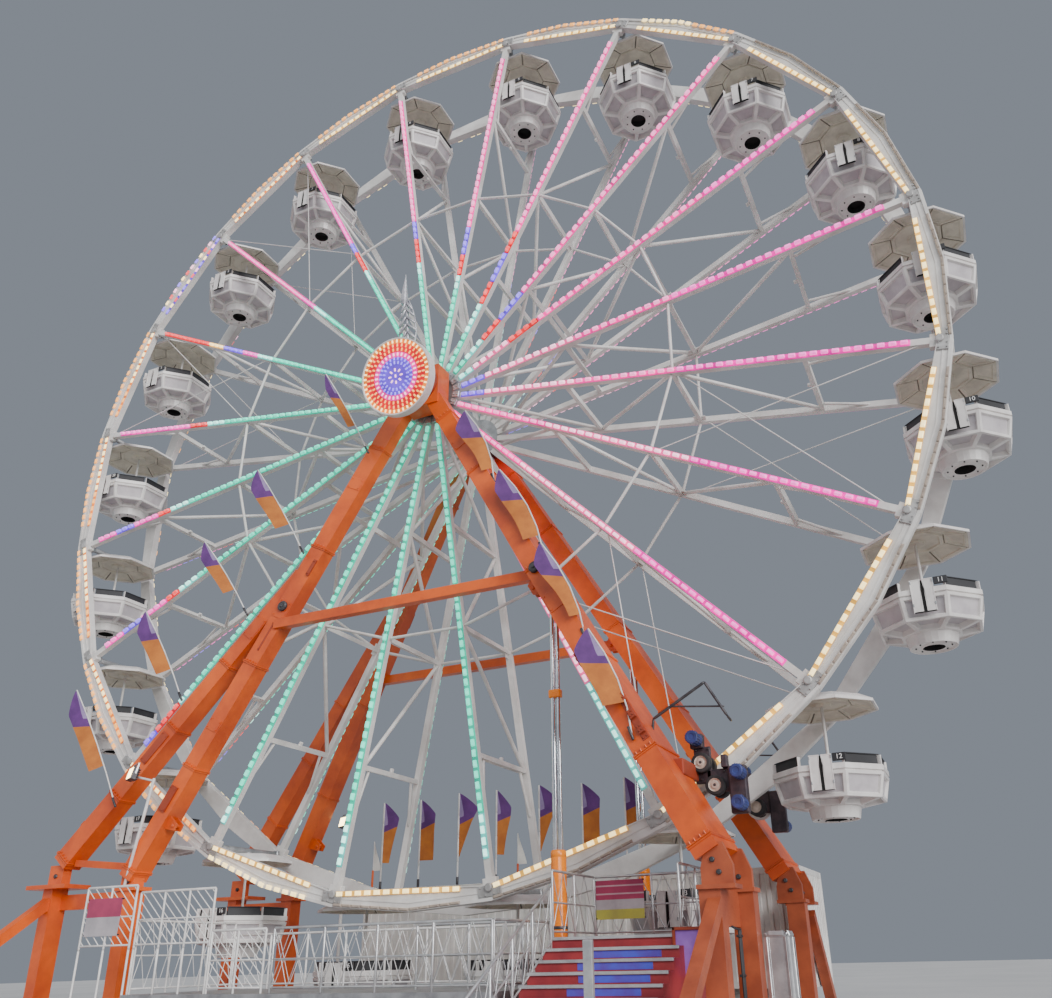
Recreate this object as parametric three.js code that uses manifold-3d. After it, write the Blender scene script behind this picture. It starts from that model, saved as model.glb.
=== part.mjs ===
// Travelling ferris wheel with twenty level-hanging cabins, millimetres, +Z up, +Y to the rear.
// Origin: on the ground under the wheel centre. The wheel turns about the Y axis.
import * as THREE from "three";
import { mergeVertices } from "three/addons/utils/BufferGeometryUtils.js";
import Module from "manifold-3d";

const wasm = await Module();
wasm.setup();

// Driving dimensions of the wheel
const STATIONS = 20;
const RADIUS = 12500; // wheel centre to the cabin pins
const AXLE_HEIGHT = 15350;
const PHASE = 27.55; // degrees from the top to the first station, clockwise from the front
const RIM_PLANE = 1203; // rims and spokes, either side of the middle
const RIM_OUTER = 12770;
const RIM_INNER = 12360; // at the corners, where the spokes meet the rim
const RIM_WIDTH = 180;
const SPOKE = 150;
const HUB_FLAT = 620; // hub centre to the flats that the spokes stand on
const HUB_FLANGE_THICK = 220;
const HUB_BARREL = 380;
const TIE_RADII = [9700, 6625, 3840]; // cross ties in each spoke frame
const TIE = 110;
const SHAFT = 160;
const SHAFT_END = 1860;
const PIN = 40;

// Driving dimensions of a cabin, heights below its pins
const CABIN_HALF = 1060;
const TUB_RIM = -1555;
const TUB_BAND = -1670;
const TUB_SIDE = -2150;
const TUB_BASE = -2250;
const BOSS_END = -2460;
const WALL = 50;
const CANOPY_EDGE = -315;

// Driving dimensions of the A-frames: inner and outer are distances from the middle of the wheel
const RIGHT_LEG = {
  top: { x: -405, z: 16200, inner: 1420, outer: 1700, width: 440 },
  foot: { x: 7127, z: 3170, inner: 2100, outer: 3630, width: 450 },
};
const LEFT_LEG = {
  top: { x: -434, z: 15500, inner: 1420, outer: 1720, width: 510 },
  foot: { x: -6614, z: 3500, inner: 2480, outer: 2970, width: 380 },
};
const STRUT = {
  top: { x: -3150, z: 10600, inner: 1730, outer: 2160, width: 360 },
  foot: { x: -8489, z: 3900, inner: 2770, outer: 3220, width: 450 },
};
const HOUSING_INNER = 1420;
const HOUSING_OUTER = 1950;
const CROSSBAR_HEIGHT = [9230, 8980]; // front, rear

// Driving dimensions of what stands on the ground
const RIGHT_PLATE = 2640; // tops of the posts, under the lugs of the legs
const LEFT_PLATE = 3380;
const RIGHT_SILL = { x: 7200, reach: 3630 };
const LEFT_SILLS = [{ x: -6550, reach: 2950 }, { x: -8690, reach: 3200 }];
const SILL_HALF = 220;
const CHASSIS_HALF = 1349.7;
const DECK_HEIGHT = 1150;
const LANDING_HEIGHT = 1950;
const PLATFORM_BACK = -1350; // edge of the deck and landing beside the wheel
const RISERS = 11;
const GOING = 300;

const TOUCH = 0.3; // gap left between pieces that touch
const RUNNING = 8; // gap beside turning pieces

const V = (x, y, z) => new THREE.Vector3(x, y, z);
const rad = THREE.MathUtils.degToRad;
const stationAngle = (k) => rad(PHASE - (360 / STATIONS) * k);

// A closed three.js geometry as a solid that can be joined and cut
function solid(geometry) {
  const g = geometry.index ? geometry.toNonIndexed() : geometry.clone();
  const bare = new THREE.BufferGeometry().setAttribute("position", g.getAttribute("position"));
  const merged = mergeVertices(bare, 1e-3);
  const mesh = new wasm.Mesh({
    numProp: 3,
    vertProperties: merged.attributes.position.array,
    triVerts: new Uint32Array(merged.index.array),
  });
  return new wasm.Manifold(mesh);
}

const add = (...parts) => wasm.Manifold.union(parts.flat());
const cut = (body, ...tools) => wasm.Manifold.difference([body, ...tools.flat()]);

// A box given by its low and high corners
function block(low, high) {
  const size = high.map((v, i) => v - low[i]);
  const g = new THREE.BoxGeometry(...size);
  return solid(g.translate(...high.map((v, i) => (v + low[i]) / 2)));
}

// A straight bar from a to b: width lies in the wheel's plane, depth runs along the axle
function bar(a, b, width, depth, grow = 0) {
  const along = b.clone().sub(a);
  const length = along.length();
  along.normalize();
  const side = V(0, 1, 0).addScaledVector(along, -along.y);
  if (side.length() < 0.1) side.set(1, 0, 0).addScaledVector(along, -along.x);
  side.normalize();
  const across = side.clone().cross(along);
  const g = new THREE.BoxGeometry(width + 2 * grow, depth + 2 * grow, length + 2 * grow);
  g.applyMatrix4(new THREE.Matrix4().makeBasis(across, side, along));
  const middle = a.clone().add(b).multiplyScalar(0.5);
  return solid(g.translate(middle.x, middle.y, middle.z));
}

// A beam of an A-frame, tapered between its two ends; grow turns it into a cutter
function beam({ top, foot }, side, grow = 0) {
  const along = V(foot.x - top.x, 0, foot.z - top.z).normalize();
  const across = V(-along.z, 0, along.x);
  const g = new THREE.BoxGeometry(2, 2, 2);
  const corner = g.getAttribute("position");
  for (let i = 0; i < corner.count; i++) {
    const upper = corner.getZ(i) > 0;
    const end = upper ? top : foot;
    const at = V(end.x, 0, end.z)
      .addScaledVector(along, upper ? -grow : grow)
      .addScaledVector(across, corner.getX(i) * (end.width / 2 + grow));
    at.y = side * (corner.getY(i) * side > 0 ? end.outer + grow : end.inner - grow);
    corner.setXYZ(i, at.x, at.y, at.z);
  }
  return solid(g);
}

// A round bar from a to b, as a prism; start turns it about its own axis
function rod(a, b, radius, sides, endRadius = radius, start = 0) {
  const along = b.clone().sub(a);
  const g = new THREE.CylinderGeometry(endRadius, radius, along.length(), sides, 1, false, start);
  g.applyQuaternion(new THREE.Quaternion().setFromUnitVectors(V(0, 1, 0), along.normalize()));
  const middle = a.clone().add(b).multiplyScalar(0.5);
  return solid(g.translate(middle.x, middle.y, middle.z));
}

// A bore for a turning pin of the same number of sides: its flats clear the pin at every angle
function bore(a, b, radius, sides) {
  const half = Math.PI / sides;
  return rod(a, b, (radius + TOUCH) / Math.cos(half), sides, undefined, half);
}

// A prism along Y over a polygon of [x, z] points
function prism(points, y0, y1) {
  const outline = new THREE.Shape(points.map(([x, z]) => new THREE.Vector2(x, z)));
  const g = new THREE.ExtrudeGeometry(outline, { depth: y1 - y0, bevelEnabled: false });
  return solid(g.rotateX(Math.PI / 2).translate(0, y1, 0));
}

// An eight-sided cup section with flats to the front, rear and sides; levels are [half width, z]
function octagonal(levels) {
  const half = Math.PI / 8;
  const parts = [];
  for (let i = 0; i + 1 < levels.length; i++) {
    const [r0, z0] = levels[i];
    const [r1, z1] = levels[i + 1];
    const g = new THREE.CylinderGeometry(
      r1 / Math.cos(half), r0 / Math.cos(half), z1 - z0, 8, 1, false, half);
    parts.push(solid(g.rotateX(Math.PI / 2).translate(0, 0, (z0 + z1) / 2)));
  }
  return add(parts);
}

// Scene graph: the wheel is a group at the axle, everything else stands in the main group
const group = new THREE.Group();
const wheel = new THREE.Group();
wheel.position.z = AXLE_HEIGHT;
group.add(wheel);

const ORANGE = { color: 0xd95a1a, metalness: 0.2, roughness: 0.45 };
const WHITE = { color: 0xe8e6e0, metalness: 0.2, roughness: 0.5 };
const GREY = { color: 0xa9abad, metalness: 0.6, roughness: 0.5 };
const SHELL = { color: 0xe9e4dc, metalness: 0, roughness: 0.35 };
const RED = { color: 0x7a1f1c, metalness: 0.1, roughness: 0.7 };
const BLUE = { color: 0x2c3a63, metalness: 0.3, roughness: 0.5 };
const RAM = { color: 0xf08a1e, metalness: 0.4, roughness: 0.35 };

function surface(body) {
  const mesh = body.getMesh();
  const g = new THREE.BufferGeometry();
  g.setAttribute("position", new THREE.BufferAttribute(new Float32Array(mesh.vertProperties), 3));
  g.setIndex(new THREE.BufferAttribute(new Uint32Array(mesh.triVerts), 1));
  const flat = g.toNonIndexed();
  flat.computeVertexNormals();
  return flat;
}

function piece(name, geometry, finish, parent = group) {
  const mesh = new THREE.Mesh(geometry, new THREE.MeshStandardMaterial(finish));
  mesh.name = name;
  parent.add(mesh);
  return mesh;
}

const two = (n) => String(n).padStart(2, "0");
const turnedRing = (radius, count, offset) =>
  Array.from({ length: count }, (_, i) => {
    const a = stationAngle(0) + offset - (i * 2 * Math.PI) / count;
    return [radius * Math.sin(a), radius * Math.cos(a)];
  });

// Rims: straight inner edges between the spokes, rounder outside, a bore for each cabin pin
const PIN_SIDES = 6;
function rim(y) {
  const y0 = y - RIM_WIDTH / 2;
  const y1 = y + RIM_WIDTH / 2;
  const bores = [];
  for (let k = 0; k < STATIONS; k++) {
    const x = RADIUS * Math.sin(stationAngle(k));
    const z = RADIUS * Math.cos(stationAngle(k));
    bores.push(bore(V(x, y0 - 10, z), V(x, y1 + 10, z), PIN, PIN_SIDES));
  }
  const outer = prism(turnedRing(RIM_OUTER, 2 * STATIONS, 0), y0, y1);
  const inner = prism(turnedRing(RIM_INNER, STATIONS, 0), y0 - 10, y1 + 10);
  return surface(cut(outer, inner, bores));
}
piece("front_rim", rim(-RIM_PLANE), WHITE, wheel);
piece("rear_rim", rim(RIM_PLANE), WHITE, wheel);

// Spoke frames: a front and a rear spoke with cross ties, made upright and turned into place
const halfStation = Math.PI / STATIONS;
const spokeEnd = RIM_INNER - (SPOKE / 2) * Math.tan(halfStation) - TOUCH;
const spokeFrame = surface(add(
  [-RIM_PLANE, RIM_PLANE].map((y) => bar(V(0, y, HUB_FLAT + TOUCH), V(0, y, spokeEnd), SPOKE, SPOKE)),
  TIE_RADII.map((r) => bar(V(0, -RIM_PLANE, r), V(0, RIM_PLANE, r), TIE, TIE))));
for (let k = 0; k < STATIONS; k++)
  piece("spoke_frame_" + two(k + 1), spokeFrame, WHITE, wheel).rotation.y = stationAngle(k);

// Hub: two flanges with a flat for each spoke, on a turning shaft
const SHAFT_SIDES = 16;
const flange = (y) => {
  const corners = turnedRing(HUB_FLAT / Math.cos(halfStation), STATIONS, halfStation);
  return prism(corners, y - HUB_FLANGE_THICK / 2, y + HUB_FLANGE_THICK / 2);
};
piece("hub", surface(add(
  flange(-RIM_PLANE), flange(RIM_PLANE),
  rod(V(0, -RIM_PLANE, 0), V(0, RIM_PLANE, 0), HUB_BARREL, 16),
  rod(V(0, -SHAFT_END, 0), V(0, SHAFT_END, 0), SHAFT, SHAFT_SIDES))), GREY, wheel);

// Cabins: pins in the rims, a cross bar, a pole through the canopy, an eight-sided tub
function cabinSurface() {
  const outside = octagonal(
    [[520, TUB_BASE], [950, TUB_SIDE], [CABIN_HALF, TUB_BAND], [CABIN_HALF, TUB_RIM]]);
  const boss = rod(V(0, 0, BOSS_END), V(0, 0, TUB_BASE + 20), 460, 12, 510);
  const seatWell = octagonal([[900 - WALL, TUB_SIDE + 160], [CABIN_HALF - WALL, TUB_RIM + 10]]);
  const footWell = octagonal([[470, TUB_BASE + 60], [470, TUB_SIDE + 170]]);
  const bossBore = rod(V(0, 0, BOSS_END - 10), V(0, 0, BOSS_END + 180), 200, 8);
  const pole = rod(V(0, 0, TUB_BASE + 40), V(0, 0, -60), 45, 6);
  const roof = octagonal([[CABIN_HALF, CANOPY_EDGE], [CABIN_HALF, CANOPY_EDGE + 50], [800, -125]]);
  const underside = octagonal([[CABIN_HALF - 30, CANOPY_EDGE - 10], [560, -190]]);
  const pinEnd = RIM_PLANE + RIM_WIDTH / 2;
  const barEnd = RIM_PLANE - RIM_WIDTH / 2 - RUNNING;
  return surface(add(
    cut(add(outside, boss), seatWell, footWell, bossBore),
    pole, cut(roof, underside),
    rod(V(0, -pinEnd, 0), V(0, pinEnd, 0), PIN, PIN_SIDES),
    rod(V(0, -barEnd, 0), V(0, barEnd, 0), 75, 6)));
}
const cabin = cabinSurface();
for (let k = 0; k < STATIONS; k++)
  piece("cabin_" + two(k + 1), cabin, SHELL, wheel).position.set(
    RADIUS * Math.sin(stationAngle(k)), 0, RADIUS * Math.cos(stationAngle(k)));

// A-frames: side is -1 at the front and 1 at the rear; grow turns a leg into a cutter
const SIDES = [[-1, "front"], [1, "rear"]];
const rightLeg = (side, grow) => beam(RIGHT_LEG, side, grow);
const leftLeg = (side, grow) => [
  beam(LEFT_LEG, side, grow), beam(STRUT, side, grow),
  bar(V(-8150, side * 2990, 3890), V(-6600, side * 2860, 3740), 150, 150, grow),
];
// A box beside the middle plane: near and far are distances from it
const sideBlock = (side, [x0, near, z0], [x1, far, z1]) =>
  block([x0, side < 0 ? -far : near, z0], [x1, side < 0 ? -near : far, z1]);
const housing = (side, grow) => sideBlock(side,
  [-520 - grow, HOUSING_INNER - grow, AXLE_HEIGHT - 620 - grow],
  [520 + grow, HOUSING_OUTER + grow, AXLE_HEIGHT + 520 + grow]);
const spire = bar(V(-600, -1640, 16100), V(-790, -1700, 19370), 130, 130);
for (const [side, word] of SIDES) {
  const shaftBore = bore(
    V(0, side * (HOUSING_INNER - 70), AXLE_HEIGHT), V(0, side * (SHAFT_END + 50), AXLE_HEIGHT),
    SHAFT, SHAFT_SIDES);
  const apex = add(rightLeg(side, 0), housing(side, 0), side < 0 ? spire : []);
  piece(word + "_right_leg", surface(cut(apex, shaftBore)), ORANGE);
  piece(word + "_left_leg",
    surface(cut(add(leftLeg(side, 0)), rightLeg(side, TOUCH), housing(side, TOUCH))), ORANGE);
  const y = side * 2330;
  const z = CROSSBAR_HEIGHT[side < 0 ? 0 : 1];
  piece(word + "_crossbar", surface(cut(
    bar(V(-3600, y, z), V(3600, y, z), 230, 200),
    leftLeg(side, TOUCH), rightLeg(side, TOUCH))), ORANGE);
}

// Lifting rams under the right legs: a fat cylinder below, the chromed rod above
for (const [side, word] of SIDES) {
  const at = (z) => V(3900, side * 2380, z);
  const ram = add(rod(at(0), at(3500), 150, 10), rod(at(3500), at(8750), 95, 10));
  piece(word + "_ram", surface(cut(ram, rightLeg(side, TOUCH))), RAM);
}

// Feet of the A-frames: posts, joint plates and lugs, ground sills, and outrigger braces
const bothSides = (make) => [-1, 1].flatMap(make);
const sill = ({ x, reach }) => block([x - SILL_HALF, -reach, 0], [x + SILL_HALF, reach, 240]);
const outrigger = (x, y, z, reach) => [
  bar(V(x, y, z), V(x, reach, 120), 220, 220),
  block([x - 250, reach - 330, 0], [x + 250, reach + 330, 90]),
];
const legCutters = bothSides((side) => [rightLeg(side, TOUCH), ...leftLeg(side, TOUCH)]);
const rightPosts = (side) => {
  const lug = [[6990, 0], [7530, 0], [7530, 330], [7380, 690], [7100, 690], [6990, 300]]
    .map(([x, z]) => [x, RIGHT_PLATE + z]);
  const lugAt = (y) => prism(lug, side * y - 60, side * y + 60);
  return [
    sideBlock(side, [6950, 3270, 0], [7310, 3630, RIGHT_PLATE]),
    sideBlock(side, [7180, 2100, 0], [7560, 2450, RIGHT_PLATE]),
    sideBlock(side, [7200, 2440, RIGHT_PLATE - 600], [7300, 3280, RIGHT_PLATE - 40]),
    sideBlock(side, [6930, 3210, RIGHT_PLATE - 40], [7580, RIGHT_SILL.reach + 60, RIGHT_PLATE + 30]),
    sideBlock(side, [6990, 2060, RIGHT_PLATE - 40], [7600, 2500, RIGHT_PLATE + 30]),
    lugAt(3500), lugAt(2240),
  ];
};
piece("right_base", surface(cut(
  add(
    bothSides(rightPosts), sill(RIGHT_SILL),
    outrigger(7200, -3500, 2430, -6500), outrigger(7400, 3450, 2430, 5300)),
  legCutters)), ORANGE);
const leftPosts = (side) => [
  sideBlock(side, [-8840, 2780, 0], [-8540, 3200, LEFT_PLATE]),
  sideBlock(side, [-9240, 2640, LEFT_PLATE - 50], [-8000, 3360, LEFT_PLATE + 40]),
  sideBlock(side, [-8860, 2880, LEFT_PLATE], [-8420, 3110, LEFT_PLATE + 480]),
  sideBlock(side, [-6720, 2520, 0], [-6380, 2940, LEFT_PLATE - 120]),
  sideBlock(side, [-6860, 2480, LEFT_PLATE - 160], [-6240, 2980, LEFT_PLATE - 80]),
  sideBlock(side, [-6780, 2580, LEFT_PLATE - 120], [-6400, 2880, LEFT_PLATE + 180]),
  sideBlock(side, [-8550, 2790, LEFT_PLATE - 500], [-6700, 2930, LEFT_PLATE - 170]),
];
piece("left_base", surface(cut(
  add(bothSides(leftPosts), LEFT_SILLS.map(sill), outrigger(-8690, -3100, 3080, -7000)),
  legCutters)), ORANGE);

// Chassis under the wheel between the two sills, and the trailer body behind the rear leg
piece("chassis", surface(block(
  [LEFT_SILLS[0].x + SILL_HALF + TOUCH, -CHASSIS_HALF, 0],
  [RIGHT_SILL.x - SILL_HALF - TOUCH, CHASSIS_HALF, 330])), GREY);
piece("trailer", surface(add(
  block([-4800, RIGHT_SILL.reach + 60 + TOUCH, 900], [7250, 6400, 3480]),
  block([-4600, 3900, 0], [-3400, 6200, 920]),
  block([4300, 3900, 0], [6800, 6200, 920]))), WHITE);

// Loading deck, and the landing with its flight of steps
const STEPS_LEFT = 4200;
const STEPS_RIGHT = 6600;
const LANDING_FRONT = -3450;
const treads = [];
for (let i = 1; i < RISERS; i++) {
  const top = LANDING_HEIGHT * (1 - i / RISERS);
  treads.push(block(
    [STEPS_LEFT, LANDING_FRONT - GOING * i, 0], [STEPS_RIGHT, LANDING_FRONT - GOING * (i - 1) + 1, top]));
}
const landing = block([STEPS_LEFT, LANDING_FRONT, 0], [STEPS_RIGHT, PLATFORM_BACK, LANDING_HEIGHT]);
piece("steps", surface(add(landing, treads)), RED);
piece("loading_deck",
  surface(block([-4600, -4400, 0], [3600, PLATFORM_BACK, DECK_HEIGHT])), GREY);

// Lit sign drum in front of the apex, facing down towards the queue, on a bracket
const SIGN_CENTRE = V(-50, -2900, 15020);
const SIGN_RADIUS = 1000;
const SIGN_HALF_THICK = 130;
const signTilt = rad(14);
const signAxis = V(0, -Math.cos(signTilt), -Math.sin(signTilt));
const drum = rod(
  SIGN_CENTRE.clone().addScaledVector(signAxis, -SIGN_HALF_THICK),
  SIGN_CENTRE.clone().addScaledVector(signAxis, SIGN_HALF_THICK), SIGN_RADIUS, 28);
const bracket = cut(
  block([-120, -2800, 14950], [280, -1900, 15300]),
  rightLeg(-1, TOUCH), leftLeg(-1, TOUCH), housing(-1, TOUCH));
piece("hub_sign", surface(add(drum, bracket)), WHITE);

// Rim drives on the right legs: an arm, two tyres beside the rim and their motors
const TYRE_RADIUS = 190;
const TYRES = [[6500, 5090], [6760, 4620]]; // x and z of the two axles
const MOTORS = [[6390, 5550], [7160, 4800]];
for (const [side, word] of SIDES) {
  const at = (x, y, z) => V(x, side * y, z);
  const rimFace = RIM_PLANE + RIM_WIDTH / 2 + RUNNING;
  piece(word + "_drive", surface(cut(add(
    sideBlock(side, [6150, 1700, 4600], [6750, 2700, 5000]),
    sideBlock(side, [6250, 1560, 4420], [7260, 1720, 5650]),
    TYRES.map(([x, z]) => rod(at(x, rimFace, z), at(x, 1600, z), TYRE_RADIUS, 14)),
    MOTORS.map(([x, z]) => rod(at(x, 1690, z), at(x, 2150, z), 140, 10))),
    rightLeg(side, TOUCH))), BLUE);
}

export default group;
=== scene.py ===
from itertools import groupby
from math import atan2, cos, hypot, pi, radians, sin, tau

import bmesh
import bpy
from mathutils import Matrix, Vector


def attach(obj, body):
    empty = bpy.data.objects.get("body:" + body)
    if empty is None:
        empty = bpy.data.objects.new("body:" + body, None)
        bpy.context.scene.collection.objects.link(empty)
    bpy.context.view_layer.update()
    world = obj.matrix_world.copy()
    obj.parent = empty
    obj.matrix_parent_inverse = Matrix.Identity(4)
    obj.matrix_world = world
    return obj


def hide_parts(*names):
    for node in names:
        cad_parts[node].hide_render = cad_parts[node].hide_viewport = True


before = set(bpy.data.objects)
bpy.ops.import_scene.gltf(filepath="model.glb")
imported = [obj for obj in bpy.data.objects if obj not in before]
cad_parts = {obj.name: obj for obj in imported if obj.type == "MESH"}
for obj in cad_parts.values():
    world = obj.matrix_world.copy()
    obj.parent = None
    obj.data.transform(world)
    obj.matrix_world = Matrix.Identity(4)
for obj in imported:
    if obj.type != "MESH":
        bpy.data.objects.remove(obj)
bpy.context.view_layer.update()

# The camera stands on the ground to the right of the wheel and looks up at its hub.
# Its place, its turn and its lens were solved from the rim joints in the photograph.
EYE = Vector((11.509, -19.130, 1.629))
yaw, pitch, roll = (radians(a) for a in (-23.56, 23.64, -1.33))
ahead = Vector((sin(yaw) * cos(pitch), cos(yaw) * cos(pitch), sin(pitch)))
level = ahead.cross(Vector((0, 0, 1))).normalized()
above = level.cross(ahead)
across = level * cos(roll) + above * sin(roll)
upright = above * cos(roll) - level * sin(roll)
lens = bpy.data.cameras.new("camera")
lens.sensor_width = 36
lens.lens = 31.77
lens.shift_x, lens.shift_y = -0.0383, 0.0498
lens.clip_end = 400
camera = bpy.data.objects.new("camera", lens)
camera.matrix_world = Matrix.Translation(EYE) @ Matrix((across, upright, -ahead)).transposed().to_4x4()
bpy.context.collection.objects.link(camera)
bpy.context.scene.camera = camera



# Helpers: each makes one small thing with Blender's own tools, as by hand, or hands a finished
# piece to the body that it rides on. Lengths are in metres; Y runs back and Z up from the ground.
def alone(piece):
    if bpy.context.mode != "OBJECT":
        mode("OBJECT")
    bpy.ops.object.select_all(action="DESELECT")
    piece.select_set(True)
    bpy.context.view_layer.objects.active = piece


def settled(name, *finishes):
    """The active object with its place put into its mesh, under its own name and finishes."""
    piece = bpy.context.object
    alone(piece)
    bpy.ops.object.transform_apply(location=True, rotation=True, scale=True)
    piece.name = piece.data.name = name
    piece.data.materials.clear()
    for finish in finishes:
        piece.data.materials.append(finish)
    return piece


def cloud(nodes, links, place, scale, detail=5.0):
    noise = nodes.new("ShaderNodeTexNoise")
    noise.inputs["Scale"].default_value = scale
    noise.inputs["Detail"].default_value = detail
    noise.inputs["Roughness"].default_value = 0.6
    links.new(place, noise.inputs["Vector"])
    return noise.outputs["Fac"]


def two_tones(nodes, links, share, low, shade, high, colour):
    """A colour that goes from the shade to the full colour as the share rises from low to high."""
    tones = nodes.new("ShaderNodeValToRGB")
    for end, where, tint in zip(tones.color_ramp.elements, (low, high), (shade, colour)):
        end.position, end.color = where, (*tint, 1)
    links.new(share, tones.inputs["Fac"])
    return tones.outputs["Color"]


def coat(name, colour, shade, rough=0.45, metallic=0.0, patch=0.8, grain=30.0, dent=0.002):
    """A worn coat: clouds of a second tone, a fine grain in its gloss, and slight dents."""
    finish = bpy.data.materials.new(name)
    finish.use_nodes = True
    nodes, links = finish.node_tree.nodes, finish.node_tree.links
    body = nodes["Principled BSDF"]
    body.inputs["Metallic"].default_value = metallic
    place = nodes.new("ShaderNodeTexCoord").outputs["Object"]
    clouds = cloud(nodes, links, place, patch)
    links.new(two_tones(nodes, links, clouds, 0.38, shade, 0.62, colour), body.inputs["Base Color"])
    fine = cloud(nodes, links, place, grain, 3.0)
    gloss = nodes.new("ShaderNodeMapRange")
    gloss.inputs["To Min"].default_value = max(0.05, rough - 0.12)
    gloss.inputs["To Max"].default_value = min(1.0, rough + 0.15)
    links.new(fine, gloss.inputs["Value"])
    links.new(gloss.outputs["Result"], body.inputs["Roughness"])
    bump = nodes.new("ShaderNodeBump")
    bump.inputs["Distance"].default_value = dent
    bump.inputs["Strength"].default_value = 0.6
    links.new(fine, bump.inputs["Height"])
    links.new(bump.outputs["Normal"], body.inputs["Normal"])
    return finish


def shift(x, y, z):
    return Matrix.Translation(Vector((x, y, z)))


def spin(degrees, axis):
    return Matrix.Rotation(radians(degrees), 4, axis)


def fresh(add, **settings):
    """A new object by one of Blender's own tools, with nothing else selected."""
    bpy.ops.object.select_all(action="DESELECT")
    add(**settings)


def cylinder(sides, radius, depth, location=(0, 0, 0), tip=0):
    """An upright cylinder, or one tipped about X by so many degrees."""
    fresh(bpy.ops.mesh.primitive_cylinder_add, vertices=sides, radius=radius, depth=depth,
          location=location, rotation=(radians(tip), 0, 0))


def mode(word):
    bpy.ops.object.mode_set(mode=word)


def pick_all():
    bpy.ops.mesh.select_all(action="SELECT")


def pick(test):
    """In edit mode, selects the faces whose middle and normal pass the test."""
    bpy.ops.mesh.select_mode(type="FACE")
    shape = bmesh.from_edit_mesh(bpy.context.object.data)
    for face in shape.faces:
        face.select_set(bool(test(face.calc_center_median(), face.normal)))
    bmesh.update_edit_mesh(bpy.context.object.data)


def inset(test, *steps, each=False):
    """Picks faces and insets them by (thickness, depth) steps, as one region or each on its own."""
    pick(test)
    for thickness, depth in steps:
        bpy.ops.mesh.inset(thickness=thickness, depth=depth, use_individual=each)


def plate(a, b, chamfer=0.006, steps=1):
    """A box between two opposite corners with its edges broken."""
    low, high = (Vector([end(pair) for pair in zip(a, b)]) for end in (min, max))
    fresh(bpy.ops.mesh.primitive_cube_add, size=1, location=(low + high) / 2)
    bpy.context.object.scale = high - low
    bpy.ops.object.transform_apply(location=True, rotation=True, scale=True)
    if chamfer:
        mode("EDIT")
        bpy.ops.mesh.bevel(offset=chamfer, segments=steps)
        mode("OBJECT")
    return bpy.context.object


def tube(a, b, radius, sides=8, neck=0.05, shrink=0.3):
    """A round bar from a to b whose two ends are drawn down to a neck."""
    a, b = Vector(a), Vector(b)
    length = (b - a).length
    neck = min(neck, length / 4)
    cylinder(sides, radius, length - 2 * neck)
    mode("EDIT")
    inset(lambda middle, normal: abs(normal.z) > 0.9, (radius * shrink, neck), each=True)
    mode("OBJECT")
    bar = bpy.context.object
    lie = (b - a).to_track_quat("Z", "Y").to_matrix().to_4x4()
    bar.data.transform(Matrix.Translation((a + b) / 2) @ lie)
    for face in bar.data.polygons:
        face.use_smooth = len(face.vertices) == 4
    return bar


def bolt(centre, radius, height, turn=90, sides=6):
    """A bolt head with its chamfered top, standing on a face; turn tips it about X."""
    cylinder(sides, radius, height, centre, turn)
    bpy.ops.object.transform_apply(location=True, rotation=True, scale=True)
    way = spin(turn, "X") @ Vector((0, 0, 1))
    mode("EDIT")
    inset(lambda middle, normal: normal.dot(way) > 0.9, (radius * 0.25, height * 0.3))
    mode("OBJECT")
    return bpy.context.object


def joined(parts, name, *finishes):
    """The parts as one object; it keeps their own finishes unless it is given others."""
    alone(parts[0])
    for other in parts[1:]:
        other.select_set(True)
    if len(parts) > 1:
        bpy.ops.object.join()
    whole = bpy.context.object
    whole.name = whole.data.name = name
    if finishes:
        whole.data.materials.clear()
        for finish in finishes:
            whole.data.materials.append(finish)
    return whole


def part(piece, *finishes):
    """One part of a piece, in its own finish."""
    return joined([piece], piece.name, *finishes)


def moved(piece, place):
    piece.data.transform(place)
    return piece


def copied(piece, places, name, keep=False):
    """One piece with a copy of this one's mesh at each place, which takes the pattern's place."""
    whole = bmesh.new()
    for place in places:
        one = piece.data.copy()
        one.transform(place)
        if place.determinant() < 0:
            one.flip_normals()
        whole.from_mesh(one)
        bpy.data.meshes.remove(one)
    mesh = bpy.data.meshes.new(name)
    whole.to_mesh(mesh)
    whole.free()
    for finish in piece.data.materials:
        mesh.materials.append(finish)
    if not keep:
        bpy.data.objects.remove(piece)
    copy = bpy.data.objects.new(name, mesh)
    bpy.context.collection.objects.link(copy)
    return copy


def on_body(piece, body):
    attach(piece, body)
    return piece


def standing(parts, name, slot, *finishes):
    """The parts as one piece that rides on the standing structure."""
    return on_body(joined(parts, name, *finishes), "structure")


def dress(node, finish):
    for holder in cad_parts[node].material_slots:
        holder.material = finish


# The plain pale floor, far wider than the wheel, and the soft studio light over it: a broad key
# and a second light from the right, a weaker fill from the left, and an even sky.
fresh(bpy.ops.mesh.primitive_plane_add, size=240, location=(0, 20, -0.002))
mode("EDIT")
bpy.ops.mesh.subdivide(number_cuts=3)
floor = settled("studio_floor", coat(
    "pale_floor", (0.62, 0.61, 0.60), (0.56, 0.555, 0.55), 0.8, patch=0.15, grain=6, dent=0.004))

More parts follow.
